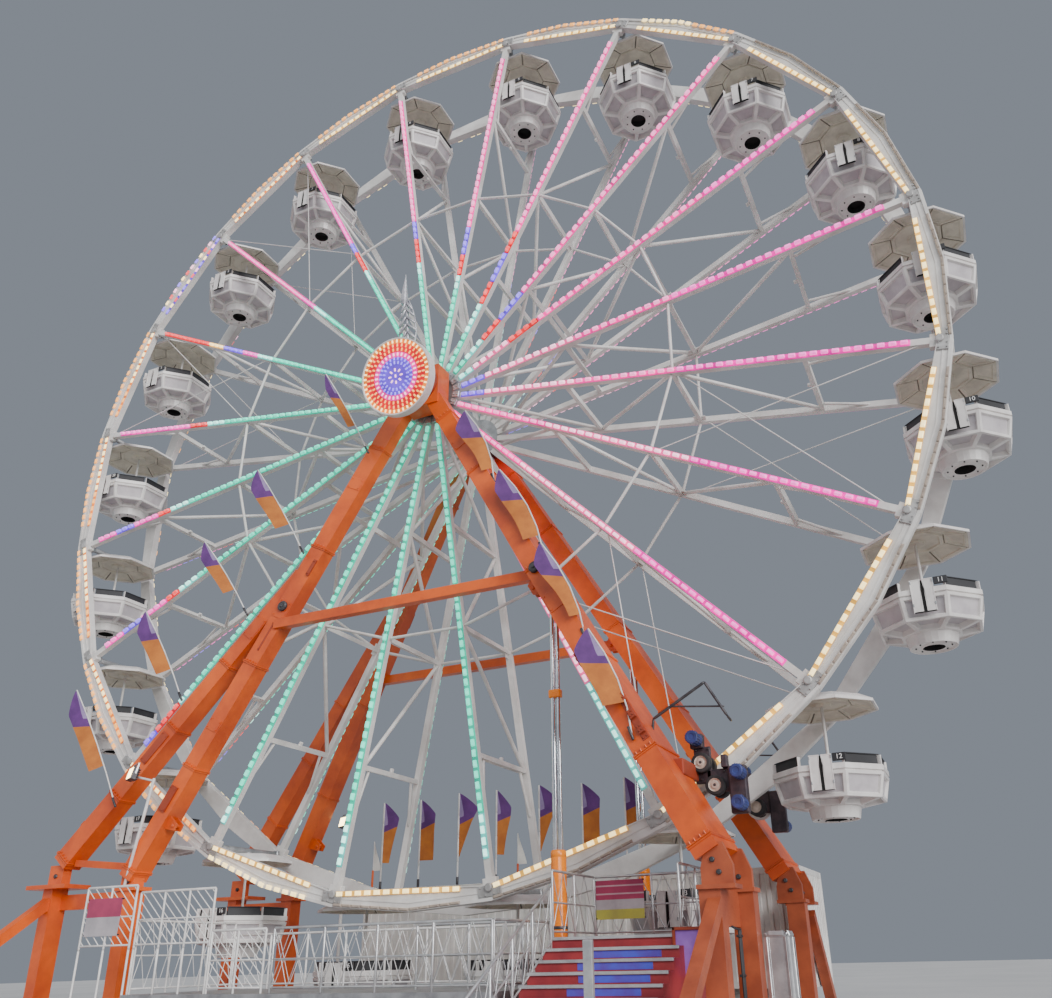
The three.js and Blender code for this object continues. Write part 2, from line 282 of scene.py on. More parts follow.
sky = bpy.data.worlds.new("studio_sky")
sky.use_nodes = True
sky.node_tree.nodes["Background"].inputs["Color"].default_value = (0.30, 0.335, 0.39, 1)
sky.node_tree.nodes["Background"].inputs["Strength"].default_value = 0.75
bpy.context.scene.world = sky
for word, turn, power, softness in (
        ("key", (52, 0, 34), 1.6, 30), ("side", (76, 0, 62), 2.4, 25), ("fill", (62, 0, -50), 0.5, 60)):
    light = bpy.data.lights.new(word + "_light", "SUN")
    light.energy = power
    light.angle = radians(softness)
    lamp = bpy.data.objects.new(word + "_light", light)
    lamp.rotation_euler = [radians(a) for a in turn]
    bpy.context.collection.objects.link(lamp)


# The two rims are white-painted steel boxes. A bay between two spokes is straight inside and
# kinked once outside; the bays meet at the stations, over a corner block with its bolted joint
# plate and pin cap, and a turned-up lip runs along both edges of the outer face.
HUB_HEIGHT = 15.35
STATIONS = 20
PIN_RADIUS = 12.5
RIM_NEAR, RIM_FACE = 1.113, 1.293
RIM_OUTER, RIM_INSIDE = 12.77, 12.30
half_bay = pi / STATIONS
white_paint = coat("white_paint", (0.80, 0.78, 0.75), (0.62, 0.59, 0.56), 0.42, patch=1.1)
joint_grey = coat("joint_grey", (0.50, 0.49, 0.48), (0.33, 0.32, 0.31), 0.5, 0.4, patch=3)


def station(k):
    return radians(27.55 - 18 * k)


def turned(angle):
    return shift(0, 0, HUB_HEIGHT) @ Matrix.Rotation(angle, 4, "Y")


REAR = Matrix.Scale(-1, 4, (0, 1, 0))
WHEEL_PLACES = [turned(station(k)) for k in range(STATIONS)]
BAY_PLACES = [turned(station(k) - half_bay) for k in range(STATIONS)]


def both_faces(places):
    """The places, each followed by its mirror image on the rear face of the wheel."""
    return [place @ flip for place in places for flip in (Matrix(), REAR)]


def on_wheel(pattern, places, name):
    """A copy of the pattern at each place, as one piece that turns with the wheel."""
    return on_body(copied(pattern, places, name), "wheel")


def hoop(radius, depth, y, width, steps):
    """A rectangular lip spun right round the axle, with corners where the rim has them."""
    fresh(bpy.ops.mesh.primitive_plane_add, size=1, rotation=(radians(90), 0, radians(90)))
    bpy.context.object.scale = (width, depth, 1)
    bpy.ops.object.transform_apply(location=True, rotation=True, scale=True)
    bpy.context.object.data.transform(
        Matrix.Rotation(station(0), 4, "Y") @ shift(0, y, radius + depth / 2))
    mode("EDIT")
    pick_all()
    bpy.ops.mesh.spin(steps=steps, angle=tau, center=(0, 0, 0), axis=(0, 1, 0))
    pick_all()
    bpy.ops.mesh.remove_doubles(threshold=0.0005)
    bpy.ops.mesh.select_all(action="DESELECT")
    bpy.ops.mesh.select_interior_faces()
    bpy.ops.mesh.delete(type="FACE")
    pick_all()
    bpy.ops.mesh.normals_make_consistent(inside=False)
    mode("OBJECT")
    bpy.context.object.data.transform(shift(0, 0, HUB_HEIGHT))
    return bpy.context.object


bay = plate((-2.2, -RIM_FACE, RIM_INSIDE), (2.2, -RIM_NEAR, RIM_OUTER + 0.2), 0)
mode("EDIT")
for side in (-1, 1):
    for turn, reach in ((half_bay / 2, RIM_OUTER * cos(half_bay / 2)), (half_bay + pi / 2, 0)):
        square = Vector((side * sin(turn), 0, cos(turn)))
        pick_all()
        bpy.ops.mesh.bisect(plane_co=square * reach, plane_no=square, use_fill=True, clear_outer=True)
mode("OBJECT")
edge = bay.modifiers.new("edge", "BEVEL")
edge.width, edge.segments, edge.limit_method = 0.008, 1, "ANGLE"
alone(bay)
bpy.ops.object.modifier_apply(modifier="edge")
bay = part(bay, white_paint)
corner = plate((-0.16, -RIM_FACE + 0.012, 12.30), (0.16, -RIM_NEAR - 0.012, 12.60), 0.01)
corner = part(corner, white_paint)
for word, flip in (("front", Matrix()), ("rear", REAR)):
    bays = copied(bay, [place @ flip for place in BAY_PLACES], "bays", keep=True)
    corners = copied(corner, [place @ flip for place in WHEEL_PLACES], "corners", keep=True)
    rim = on_body(joined([bays, corners], f"{word}_rim_box"), "wheel")
    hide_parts(f"{word}_rim")
bpy.data.objects.remove(bay)
bpy.data.objects.remove(corner)
lips = joined([
    hoop(12.695, 0.066, -RIM_FACE - 0.014, 0.030, 2 * STATIONS),
    hoop(RIM_INSIDE / cos(half_bay) + 0.002, 0.020, -RIM_FACE - 0.014, 0.030, STATIONS),
    hoop(12.57, 0.026, -RIM_FACE - 0.006, 0.014, 2 * STATIONS),
], "rim_lip", white_paint)
on_wheel(lips, [Matrix(), REAR], "rim_lips")

joint_parts = [plate((-0.27, -RIM_FACE - 0.034, 12.44), (0.27, -RIM_FACE - 0.001, 12.685), 0.01)]
joint_parts += [bolt((x, -RIM_FACE - 0.042, z), 0.020, 0.018)
                for x in (-0.21, -0.10, 0.10, 0.21) for z in (12.48, 12.645)]
joint_parts.append(bolt((0, -RIM_FACE - 0.05, PIN_RADIUS), 0.085, 0.036, sides=16))
on_wheel(joined(joint_parts, "rim_joint", joint_grey), both_faces(WHEEL_PLACES), "rim_joints")

# Twenty spoke frames stand on the hub. Between the two spokes of each run round diagonals, which
# zigzag the other way in every second frame; chords join the frames, and four bays have crossed rods.
TIES = (9.70, 6.625, 3.84)
SPOKE_Y = 1.203
for k in range(STATIONS):
    dress(f"spoke_frame_{k + 1:02d}", white_paint)


def bracing(way):
    """One frame's diagonals, knees and tie fittings; way says at which side the first one starts."""
    y = SPOKE_Y - 0.07
    parts = [
        tube((0, way * y, TIES[0] - 0.03), (0, -way * y, TIES[1] + 0.05), 0.050),
        tube((0, -way * y, TIES[1] - 0.05), (0, way * y, TIES[2] + 0.05), 0.050),
        tube((0, way * y, TIES[2] - 0.05), (0, -way * y, 0.80), 0.050),
    ]
    for side in (-1, 1):
        parts.append(tube((0, side * 0.90, TIES[0] + 0.04), (0, side * 1.14, 10.80), 0.036))
        parts.append(plate((-0.012, side * 1.13 - 0.16, TIES[1] - 0.16),
                           (0.012, side * 1.13, TIES[1] + 0.16), 0.004))
    parts.append(plate((-0.03, -0.05, TIES[0] - 0.15), (0.03, 0.05, TIES[0] - 0.04), 0.01))
    return parts


for way, word, frames in ((1, "even", WHEEL_PLACES[0::2]), (-1, "odd", WHEEL_PLACES[1::2])):
    on_wheel(joined(bracing(way), f"{word}_bracing", white_paint), frames, f"bracing_{word}")

chord_half = TIES[1] * sin(half_bay) - 0.07
chord_z = TIES[1] * cos(half_bay)
chord = tube((-chord_half, -SPOKE_Y, chord_z), (chord_half, -SPOKE_Y, chord_z), 0.038)
on_wheel(part(chord, white_paint), both_faces(BAY_PLACES), "ring_chords")


def bay_point(side, radius, y):
    return (side * radius * sin(half_bay), y, radius * cos(half_bay))


rods = [tube(bay_point(-way, TIES[1] + 0.1, y), bay_point(way, 12.30, y), 0.014, 6)
        for way, y in ((1, -1.16), (-1, -1.24))]
on_wheel(joined(rods, "crossed_rods", white_paint),
         both_faces([BAY_PLACES[k] for k in (3, 5, 13, 15)]), "tie_rods")

# The light strips are rows of small moulded lenses, each over its own lamp, on a thin channel.
# They run along the outer faces of all spokes, and along both edges of the rims' outer faces.
# Each tone has its lit lens colour, the colour of its spilled light painted on the channel as a glow,
# and its power.
LAMP_TONES = {
    "pink": ((1.0, 0.24, 0.56), (0.90, 0.01, 0.34), 1.5),
    "magenta": ((1.0, 0.13, 0.60), (0.86, 0.0, 0.42), 1.5),
    "teal": ((0.05, 0.90, 0.62), (0.0, 0.48, 0.33), 1.1),
    "ice": ((0.46, 1.0, 0.86), (0.10, 0.50, 0.46), 1.6),
    "blush": ((1.0, 0.50, 0.68), (0.80, 0.10, 0.30), 1.8),
    "amber": ((1.0, 0.40, 0.05), (0.85, 0.20, 0.01), 1.3),
    "warm": ((1.0, 0.77, 0.32), (0.85, 0.46, 0.08), 2.2),
    "red": ((1.0, 0.05, 0.05), (0.66, 0.0, 0.01), 1.2),
    "violet": ((0.24, 0.15, 1.0), (0.14, 0.05, 0.70), 1.3),
}


def lens_finish(tone, glow):
    """A milky lens lit from behind, or the channel under it, with the lens's spilled light painted on as
    a glow.
    """
    lit, spill, power = LAMP_TONES[tone]
    finish = bpy.data.materials.new(f"{tone}_{'lens' if glow else 'channel'}")
    finish.use_nodes = True
    nodes, links = finish.node_tree.nodes, finish.node_tree.links
    body = nodes["Principled BSDF"]
    body.inputs["Roughness"].default_value = 0.3
    body.inputs["Emission Strength"].default_value = power if glow else 1.0
    place = nodes.new("ShaderNodeTexCoord").outputs["Object"]
    colour = lit if glow else spill
    deep = tuple(c * (0.92 if glow else 0.55) for c in colour)
    pale = tuple(c + (1 - c) * 0.12 for c in colour) if glow else colour
    clouds = cloud(nodes, links, place, 9.0 if glow else 2.0)
    tint = two_tones(nodes, links, clouds, 0.35, deep, 0.62, pale)
    links.new(tint, body.inputs["Base Color"])
    links.new(tint, body.inputs["Emission Color"])
    finish.cycles.emission_sampling = "NONE"
    return finish


lens_of = {tone: lens_finish(tone, True) for tone in LAMP_TONES}
# Each channel glows with the colour that its lamps spill: painted light, not a lamp.
painted_glow_of = {tone: lens_finish(tone, False) for tone in LAMP_TONES}


def lens_block(length, height, depth, rise):
    """A moulded lens: a low block whose front is drawn in to a smaller face."""
    block = plate((-length / 2, -depth, -height / 2), (length / 2, 0, height / 2), 0)
    mode("EDIT")
    inset(lambda middle, normal: normal.y < -0.9, (height * 0.22, rise))
    mode("OBJECT")
    return block


lens_shape = lens_block(0.150, 0.074, 0.050, 0.032)
rim_lens_shape = lens_block(0.150, 0.092, 0.020, 0.014)
channel_shape = plate((-0.5, -0.010, -0.072), (0.5, 0, 0.072), 0.004)
LAMP_KINDS = {"lenses": (lens_shape, lens_of), "rim_lenses": (rim_lens_shape, lens_of),
              "painted_glow_channels": (channel_shape, painted_glow_of)}
spots = {kind: {tone: [] for tone in LAMP_TONES} for kind in LAMP_KINDS}

# How many spokes in turn show the same colours, and up to which share of the way out each goes.
SPOKE_TONES = (
    (1, "teal 0.17 ice 0.24 red 0.30 violet 0.37 red 0.42 pink 1"),
    (1, "teal 0.27 ice 0.32 red 0.37 violet 0.44 pink 1"),
    (1, "teal 0.36 ice 0.40 red 0.47 violet 0.53 pink 1"),
    (1, "teal 0.43 ice 0.47 red 0.55 violet 0.59 magenta 1"),
    (1, "teal 0.44 ice 0.50 magenta 0.56 pink 1"),
    (1, "teal 0.53 ice 0.575 magenta 0.645 violet 0.72 warm 0.78 red 1"),
    (1, "teal 0.60 ice 0.65 red 0.72 magenta 1"),
    (2, "teal 0.67 ice 0.73 red 0.78 magenta 0.84 violet 0.90 magenta 1"),
    (1, "teal 0.80 ice 0.85 red 0.92 violet 1"),
    (1, "teal 0.92 ice 1"),
    (2, "teal 0.88 ice 1"),
    (1, "pink 0.30 blush 0.75 ice 1"),
    (2, "pink 0.30 blush 0.62 magenta 1"),
    (2, "violet 0.12 blush 0.34 pink 0.55 magenta 1"),
    (1, "ice 0.10 blush 0.20 red 0.27 pink 0.70 magenta 1"),
    (1, "teal 0.10 ice 0.16 red 0.22 violet 0.30 pink 1"),
)
SPOKE_STEPS = [text.split() for count, text in SPOKE_TONES for _ in range(count)]
SPOKE_REACH = 12.4


def spoke_tone(k, radius):
    """The colour that one spoke shows at that radius."""
    steps = SPOKE_STEPS[k]
    return next(tone for tone, share in zip(steps[::2], steps[1::2])
                if radius / SPOKE_REACH <= float(share))


def along_spoke(radius, y, length=None):
    """Where a lens, or a channel of that length, lies on a spoke."""
    stretch = Matrix.Scale(length, 4, (1, 0, 0)) if length else Matrix()
    return shift(0, y, radius) @ spin(90, "Y") @ stretch


FIRST_LENS, LENS_PITCH, SPOKE_LENSES = 0.95, 0.236, 47
LENS_RADII = [FIRST_LENS + i * LENS_PITCH for i in range(SPOKE_LENSES)]
for k, spoke in enumerate(WHEEL_PLACES):
    for place in both_faces([spoke]):
        for tone, run in groupby(LENS_RADII, lambda radius: spoke_tone(k, radius)):
            run = list(run)
            spots["lenses"][tone] += [place @ along_spoke(radius, -1.293) for radius in run]
            # Under each run, a channel with the lamps' spilled light painted on as a glow.
            spots["painted_glow_channels"][tone].append(
                place @ along_spoke((run[0] + run[-1]) / 2, -1.2795, run[-1] - run[0] + LENS_PITCH))


def rim_tone(k, i, outer):
    if k == 4:
        return ("violet", "blush", "red", "warm")[i % 4]
    if k <= 9:
        return "amber" if outer or (k > 4 and i > 7) else "warm"
    return "amber" if outer and k == 19 and i < 6 else "warm"


RIM_LENSES, RIM_PITCH, RIM_LAMPS = 13, 0.246, 12.347
OUTER_LAMPS, OUTER_START, OUTER_PITCH = 12.716, 8.15, 1.12
BARE_BAYS = range(11, 19)
UNLIT_SIZE = Matrix.Diagonal((1.55, 1, 0.62, 1))
unlit_spots = []
for k, place in enumerate(BAY_PLACES):
    for i in range(RIM_LENSES):
        at = shift(1.77 - RIM_PITCH * i, -RIM_FACE - 0.029, RIM_LAMPS)
        spots["rim_lenses"][rim_tone(k, i, False)].append(place @ at)
        turn = OUTER_START - OUTER_PITCH * i
        chord_turn = 4.5 if turn > 0 else -4.5
        radius = OUTER_LAMPS * cos(radians(4.5)) / cos(radians(turn - chord_turn))
        at = spin(turn, "Y") @ shift(0, -RIM_FACE - 0.029, radius) @ spin(chord_turn - turn, "Y")
        if k in BARE_BAYS:
            unlit_spots.append(place @ at @ UNLIT_SIZE)
        else:
            spots["rim_lenses"][rim_tone(k, i, True)].append(place @ at)
    for i in range(RIM_LENSES):
        if i % 3 != 2:
            at = shift(1.77 - RIM_PITCH * i, -RIM_FACE - 0.029, RIM_LAMPS)
            spots["rim_lenses"][rim_tone(k, i, False)].append(place @ REAR @ at)
    # Under the inner row, a channel with the lamps' spilled light painted on as a glow.
    channel_tone = "violet" if k == 4 else "amber" if 3 <= k <= 9 else "warm"
    spots["painted_glow_channels"][channel_tone].append(
        place @ shift(0.30, -RIM_FACE - 0.020, RIM_LAMPS) @ Matrix.Diagonal((3.16, 1, 0.76, 1)))

# The bare bays' lenses are unlit lamps, coloured brown-grey with painted shade of the rim's outer band.
unlit_lens_painted_shade = coat("unlit_lens_painted_shade", (0.46, 0.38, 0.31), (0.33, 0.27, 0.23), 0.35, patch=5)
unlit = copied(rim_lens_shape, unlit_spots, "unlit_rim_lenses", keep=True)
on_body(part(unlit, unlit_lens_painted_shade), "wheel")
for tone in LAMP_TONES:
    for kind, (shape, finish_of) in LAMP_KINDS.items():
        if spots[kind][tone]:
            row = copied(shape, spots[kind][tone], f"{tone}_{kind}", keep=True)
            on_body(part(row, finish_of[tone]), "wheel")
for spare in (lens_shape, rim_lens_shape, channel_shape):
    bpy.data.objects.remove(spare)

# The hub is a galvanised drum between two flanges, which carry a bracket for every spoke,
# and the shaft turns with it in the bearings at the top of the two A-frames.
galvanised = coat("galvanised", (0.52, 0.53, 0.54), (0.36, 0.37, 0.38), 0.42, 0.75, patch=4, grain=60)
dress("hub", galvanised)
bracket_parts = [plate((-0.085, -1.36, 0.60), (0.085, -1.285, 0.80), 0.01)]
bracket_parts += [bolt((0, -1.37, z), 0.022, 0.016) for z in (0.65, 0.74)]
on_wheel(joined(bracket_parts, "hub_bracket", galvanised), both_faces(WHEEL_PLACES),
         "hub_brackets")

# A cabin is an eight-sided glass-fibre tub under an eight-sided canopy on one pole. Its walls
# have a pressed panel between each two raised ribs, pockets below, and a boss with a hole underneath;
# the panel recesses and pockets are darkened with painted shade, and the hole is painted near-black as
# shade.
gelcoat = coat("gelcoat", (0.80, 0.77, 0.74), (0.66, 0.62, 0.60), 0.28, patch=2.2, grain=80, dent=0.0006)
panel_painted_shade = coat("panel_painted_shade", (0.56, 0.52, 0.53), (0.44, 0.40, 0.42), 0.35, patch=2.2)
canopy_beige = coat("canopy_beige", (0.80, 0.73, 0.60), (0.62, 0.56, 0.46), 0.55, patch=2.4, dent=0.001)
canopy_seam = coat("canopy_seam", (0.20, 0.17, 0.13), (0.11, 0.09, 0.07), 0.7, patch=6)
black_trim = coat("black_trim", (0.030, 0.030, 0.034), (0.012, 0.012, 0.014), 0.6, grain=120, dent=0.002)
hollow_painted_shade = coat("hollow_painted_shade", (0.020, 0.018, 0.018), (0.008, 0.008, 0.008), 0.8)
seat_grey = coat("seat_grey", (0.42, 0.40, 0.39), (0.30, 0.29, 0.28), 0.5, patch=3)
EIGHTH = cos(radians(22.5))


def eight_sided(levels, finish):
    """A form drawn up level by level from an eight-sided floor: each level is (half width, height)."""
    half, z = levels[0]
    fresh(bpy.ops.mesh.primitive_circle_add, vertices=8, radius=half / EIGHTH, fill_type="NGON",
          location=(0, 0, z), rotation=(0, 0, radians(22.5)))
    settled("eight_sided", finish)
    mode("EDIT")
    pick_all()
    for (half, z), (wider, higher) in zip(levels, levels[1:]):
        bpy.ops.mesh.extrude_region_move(TRANSFORM_OT_translate={"value": (0, 0, higher - z)})
        bpy.ops.transform.resize(value=(wider / half, wider / half, 1), center_override=(0, 0, higher))
    pick_all()
    bpy.ops.mesh.normals_make_consistent(inside=False)
    return bpy.context.object


TUB_LIP = -1.555
tub = eight_sided([
    (0.52, -2.25), (0.95, -2.15), (1.055, -1.695), (1.025, -1.69), (1.025, -1.665), (1.06, -1.66),
    (1.06, -1.565), (1.05, TUB_LIP), (1.01, TUB_LIP), (0.985, -1.575), (0.91, -1.975), (0.52, -1.99),
    (0.47, -2.19)], gelcoat)
# The pocket and wall-panel recesses take a darker coat: painted shade.
tub.data.materials.append(panel_painted_shade)
tub.active_material_index = 1
inset(lambda m, n: -2.245 < m.z < -2.16 and n.z < -0.5, (0.045, 0), (0.030, -0.100), each=True)
bpy.ops.object.material_slot_assign()
inset(lambda m, n: -2.14 < m.z < -1.70 and hypot(m.x, m.y) > 0.95 and n.z < 0,
      (0.055, 0), (0.022, -0.050), each=True)
bpy.ops.object.material_slot_assign()
mode("OBJECT")
cabin_parts = [tub]

cylinder(24, 0.51, 0.235, (0, 0, -2.3425))
settled("boss", gelcoat, hollow_painted_shade)
mode("EDIT")
pick(lambda m, n: n.z < -0.9)
bpy.ops.transform.resize(value=(0.9, 0.9, 1), center_override=(0, 0, -2.46))
inset(lambda m, n: n.z < -0.9, (0.03, 0.0), (0.02, -0.03), (0.16, 0.0), (0.02, 0.03),
      (0.012, 0.0), (0.008, -0.18))
mode("OBJECT")
boss = bpy.context.object
# The hole in the boss is painted near-black: painted shade.
for face in boss.data.polygons:
    if hypot(face.center.x, face.center.y) < 0.215 and face.center.z < -2.25:
        face.material_index = 1
cabin_parts.append(boss)
for i in range(8):
    a = radians(45 * i)
    cabin_parts.append(part(bolt((0.34 * cos(a), 0.34 * sin(a), -2.440), 0.018, 0.018, 180), black_trim))

canopy = eight_sided([
    (0.54, -0.225), (0.56, -0.185), (1.015, -0.315), (1.06, -0.325), (1.06, -0.27), (1.03, -0.26),
    (0.80, -0.13), (0.76, -0.122), (0.60, -0.112)], canopy_beige)
canopy.data.materials.append(gelcoat)
canopy.data.materials.append(canopy_seam)
inset(lambda m, n: n.z < -0.5 and 0.6 < hypot(m.x, m.y) < 0.95,
      (0.016, 0), (0.006, 0.016), (0.050, 0), (0.016, -0.026), each=True)
inset(lambda m, n: n.z > 0.5 and 0.85 < hypot(m.x, m.y) < 0.95, (0.04, 0.010), each=True)
inset(lambda m, n: n.z < -0.9 and hypot(m.x, m.y) < 0.2,
      (0.06, 0.0), (0.02, -0.03), (0.26, 0.0), (0.02, 0.05))
mode("OBJECT")
for face in canopy.data.polygons:
    reach = hypot(face.center.x, face.center.y)
    if reach > 1.01 or (face.normal.z > 0.2 and face.center.z > -0.27):
        face.material_index = 1
    elif 0.54 < reach < 1.0 and face.area < 0.016 and face.normal.z < -0.8:
        face.material_index = 2
cabin_parts.append(canopy)

cabin_parts += [
    part(tube((0, 0, -2.20), (0, 0, -0.20), 0.032, 12, 0.015), white_paint),
    part(tube((0, -1.10, 0), (0, 1.10, 0), 0.072, 12, 0.02), galvanised),
    part(tube((0, 0, -0.12), (0, 0, -0.02), 0.10, 12, 0.02), galvanised),
    part(plate((-0.02, -0.30, -0.12), (0.02, 0.30, -0.04), 0.008), galvanised),
    part(tube((0, 0, -1.64), (0, 0, -1.60), 0.30, 24, 0.015), gelcoat),
]
for side in (-1, 1):
    block = plate((-0.10, side * 1.02 - 0.05, -0.10), (0.10, side * 1.02 + 0.05, 0.09), 0.02)
    brace = tube((side * 0.03, side * 0.85, -0.04), (0, side * 0.48, -0.13), 0.022)
    cabin_parts += [part(block, galvanised), part(brace, galvanised)]

for i in range(8):
    turn, ridge = spin(45 * i, "Z"), spin(45 * i + 22.5, "Z")
    if i:
        back = part(plate((-0.37, -1.005, -1.57), (0.37, -0.970, -1.375), 0.012, 2), black_trim)
        rail = part(tube((-0.40, -1.01, -1.37), (0.40, -1.01, -1.37), 0.014, 6), black_trim)
        cabin_parts += [moved(back, turn), moved(rail, turn)]
    fin = part(plate((-0.012, -1.125, -1.57), (0.012, -1.04, -1.375), 0.006), gelcoat)
    seat = part(plate((-0.31, -0.86, -1.985), (0.31, -0.50, -1.91), 0.03, 2), seat_grey)
    cabin_parts += [moved(fin, ridge), moved(seat, turn)]

for side in (-1, 1):
    leaf = plate((side * 0.016, -1.096, -2.055), (side * 0.212, -1.062, -1.385), 0)
    mode("EDIT")
    inset(lambda m, n: n.y < -0.9, (0.016, 0), (0.004, -0.006))
    pick(lambda m, n: n.z < -0.9)
    bpy.ops.transform.rotate(value=radians(-side * 38), orient_axis="Y",
                             center_override=(side * 0.212, -1.08, -2.055))
    mode("OBJECT")
    cabin_parts.append(part(leaf, gelcoat))
    for z in (-1.44, -1.90):
        hinge = plate((side * 0.200 - 0.014, -1.104, z - 0.03),
                      (side * 0.200 + 0.014, -1.090, z + 0.03), 0.004)
        cabin_parts.append(part(hinge, galvanised))
# A near-black sheet behind the door leaves fills the gap between them: painted shade of the cabin's
# inside.
cabin_parts.append(part(plate((-0.205, -1.068, -2.050), (0.205, -1.050, -1.400), 0.004), hollow_painted_shade))
cabin_parts.append(part(plate((0.225, -1.090, -1.525), (0.480, -1.055, -1.375), 0.010), black_trim))

cabin_pattern = joined(cabin_parts, "cabin_pattern")
number_white = coat("number_white", (0.85, 0.84, 0.82), (0.7, 0.69, 0.67), 0.5, patch=12)
for k in range(STATIONS):
    name, turn = f"cabin_{k + 1:02d}", station(k)
    hang = shift(PIN_RADIUS * sin(turn), 0, HUB_HEIGHT + PIN_RADIUS * cos(turn))
    shell = on_body(copied(cabin_pattern, [hang], name + "_shell", keep=True), name)
    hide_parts(name)
    fresh(bpy.ops.object.text_add, rotation=(radians(90), 0, 0))
    digits = bpy.context.object.data
    digits.body = str((25 - k) % STATIONS + 1)
    digits.size, digits.extrude, digits.align_x, digits.align_y = 0.13, 0.003, "CENTER", "CENTER"
    bpy.ops.object.convert(target="MESH")
    number = settled(name + "_number", number_white)
    on_body(moved(number, hang @ shift(0.355, -1.0935, -1.450)), name)
bpy.data.objects.remove(cabin_pattern)

# The A-frames are orange box beams, wider in depth towards the feet. Each is made of lengths
# joined by bolted flanges, with lapped plates, welded brackets and a walk-up rail of short rungs.
orange_paint = coat("orange_paint", (0.80, 0.125, 0.012), (0.52, 0.065, 0.010), 0.34, patch=0.7,
                    dent=0.003)
orange_shadow = coat("orange_shadow", (0.36, 0.050, 0.016), (0.24, 0.034, 0.014), 0.5, patch=1.2)
steel_dark = coat("steel_dark", (0.10, 0.095, 0.10), (0.05, 0.045, 0.05), 0.45, 0.5, patch=5, grain=60)
SIDES = ((-1, "front"), (1, "rear"))
# The middle of a leg's top and foot in X and Z, its inner and outer face in Y, and its width there.
RIGHT_LEG = ((-0.405, 16.20, 1.42, 1.70, 0.44), (7.127, 3.17, 2.10, 3.63, 0.45))
LEFT_LEG = ((-0.434, 15.50, 1.42, 1.72, 0.51), (-6.614, 3.50, 2.48, 2.97, 0.38))
STRUT = ((-3.15, 10.60, 1.73, 2.16, 0.36), (-8.489, 3.90, 2.77, 3.22, 0.45))
for _, word in SIDES:
    for leg in ("right_leg", "left_leg", "crossbar"):
        dress(f"{word}_{leg}", orange_paint)


def leg_place(leg, share, side):
    """The middle of a leg at that share of its length, with its half width and half depth there."""
    x, z, inner, outer, width = (a + (b - a) * share for a, b in zip(*leg))
    lean = atan2(leg[0][0] - leg[1][0], leg[0][1] - leg[1][1])
    place = Matrix.Translation((x, side * (inner + outer) / 2, z)) @ Matrix.Rotation(lean, 4, "Y")
    return place, width / 2, (outer - inner) / 2


def face_place(leg, share, side):
    """The same on the sloping outer face: X across the leg, Z up along it, Y square to the face."""
    (x0, z0, _, outer0, _), (x1, z1, _, outer1, _) = leg
    x, z, _, outer, width = (a + (b - a) * share for a, b in zip(*leg))
    up = Vector((x0 - x1, side * (outer0 - outer1), z0 - z1)).normalized()
    across_leg = Vector((up.z, 0, -up.x)).normalized()
    square = up.cross(across_leg)
    place = Matrix((across_leg, square, up)).transposed().to_4x4()
    return shift(x, side * outer, z) @ place, width / 2


def flange(leg, share, side):
    """Two bolted flange plates round a leg, with a shadow gap between them."""
    place, w, d = leg_place(leg, share, side)
    parts = [plate((-w - 0.024, -d - 0.024, z), (w + 0.024, d + 0.024, z + 0.027), 0.004)
             for z in (0.005, -0.032)]
    parts += [bolt((x * w, side * (d + 0.020), 0.045), 0.016, 0.05, 0) for x in (-0.7, -0.25, 0.25, 0.7)]
    return [moved(p, place) for p in parts]


def lap(leg, share, side, half, left=-0.84, right=0.84, thick=0.014):
    """A lapped plate on the outer face of a leg, held by a bolt at each corner."""
    place, w = face_place(leg, share, side)
    parts = [plate((left * w, -side * 0.004, -half), (right * w, side * thick, half), 0.005)]
    parts += [bolt((x * w, side * thick, z), 0.018, 0.024, -90 * side)
              for x in (left + 0.14, right - 0.14) for z in (-half + 0.05, half - 0.05)]
    return [moved(p, place) for p in parts]


def lug(leg, share, side, edge, reach, half=0.16):
    """Two welded cheeks with a pin, standing on the edge of a leg; edge -1 is its left side."""
    place, w, d = leg_place(leg, share, side)
    parts = []
    for y in (-0.09, 0.09):
        cheek = plate((edge * (w - 0.02), y - 0.018, -half), (edge * (w + reach), y + 0.018, half), 0)
        mode("EDIT")
        pick(lambda m, n: n.x * edge > 0.9)
        bpy.ops.transform.resize(value=(1, 1, 0.5), center_override=(edge * w, y, 0))
        pick_all()
        bpy.ops.mesh.bevel(offset=0.006, segments=1)
        mode("OBJECT")
        parts.append(cheek)
    pin = edge * (w + reach * 0.62)
    parts.append(tube((pin, -0.14, 0), (pin, 0.14, 0), 0.040, 10, 0.01))
    return [moved(p, place) for p in parts]


FLANGES = ((RIGHT_LEG, (0.155, 0.30, 0.53, 0.70, 0.86, 0.985)),
           (LEFT_LEG, (0.14, 0.36, 0.60, 0.80, 0.985)), (STRUT, (0.33, 0.55, 0.78, 0.985)))
LAPS = ((RIGHT_LEG, 0.60, 0.24), (RIGHT_LEG, 0.23, 0.16), (LEFT_LEG, 0.49, 0.24),
        (STRUT, 0.20, 0.30), (LEFT_LEG, 0.22, 0.16), (LEFT_LEG, 0.72, 0.15))
LUGS = ((RIGHT_LEG, 0.545, -1, 0.20, 0.26), (LEFT_LEG, 0.895, 1, 0.28, 0.16),
        (RIGHT_LEG, 0.77, -1, 0.10, 0.12), (STRUT, 0.90, -1, 0.14, 0.16))
BRACKETS = ((RIGHT_LEG, 0.705, 0.17, -0.98, -0.05, 0.10), (RIGHT_LEG, 0.80, 0.75, 0.30, 0.94, 0.012),
            *[(RIGHT_LEG, share, 0.09, 0.36, 0.90, 0.075) for share in (0.765, 0.785, 0.812, 0.835)],
            (LEFT_LEG, 0.545, 0.40, -0.10, 0.14, 0.010), (LEFT_LEG, 0.40, 0.22, 0.55, 0.95, 0.05),
            (STRUT, 0.62, 0.42, -0.50, 0.55, 0.03), (LEFT_LEG, 0.86, 0.30, -0.75, 0.30, 0.05))
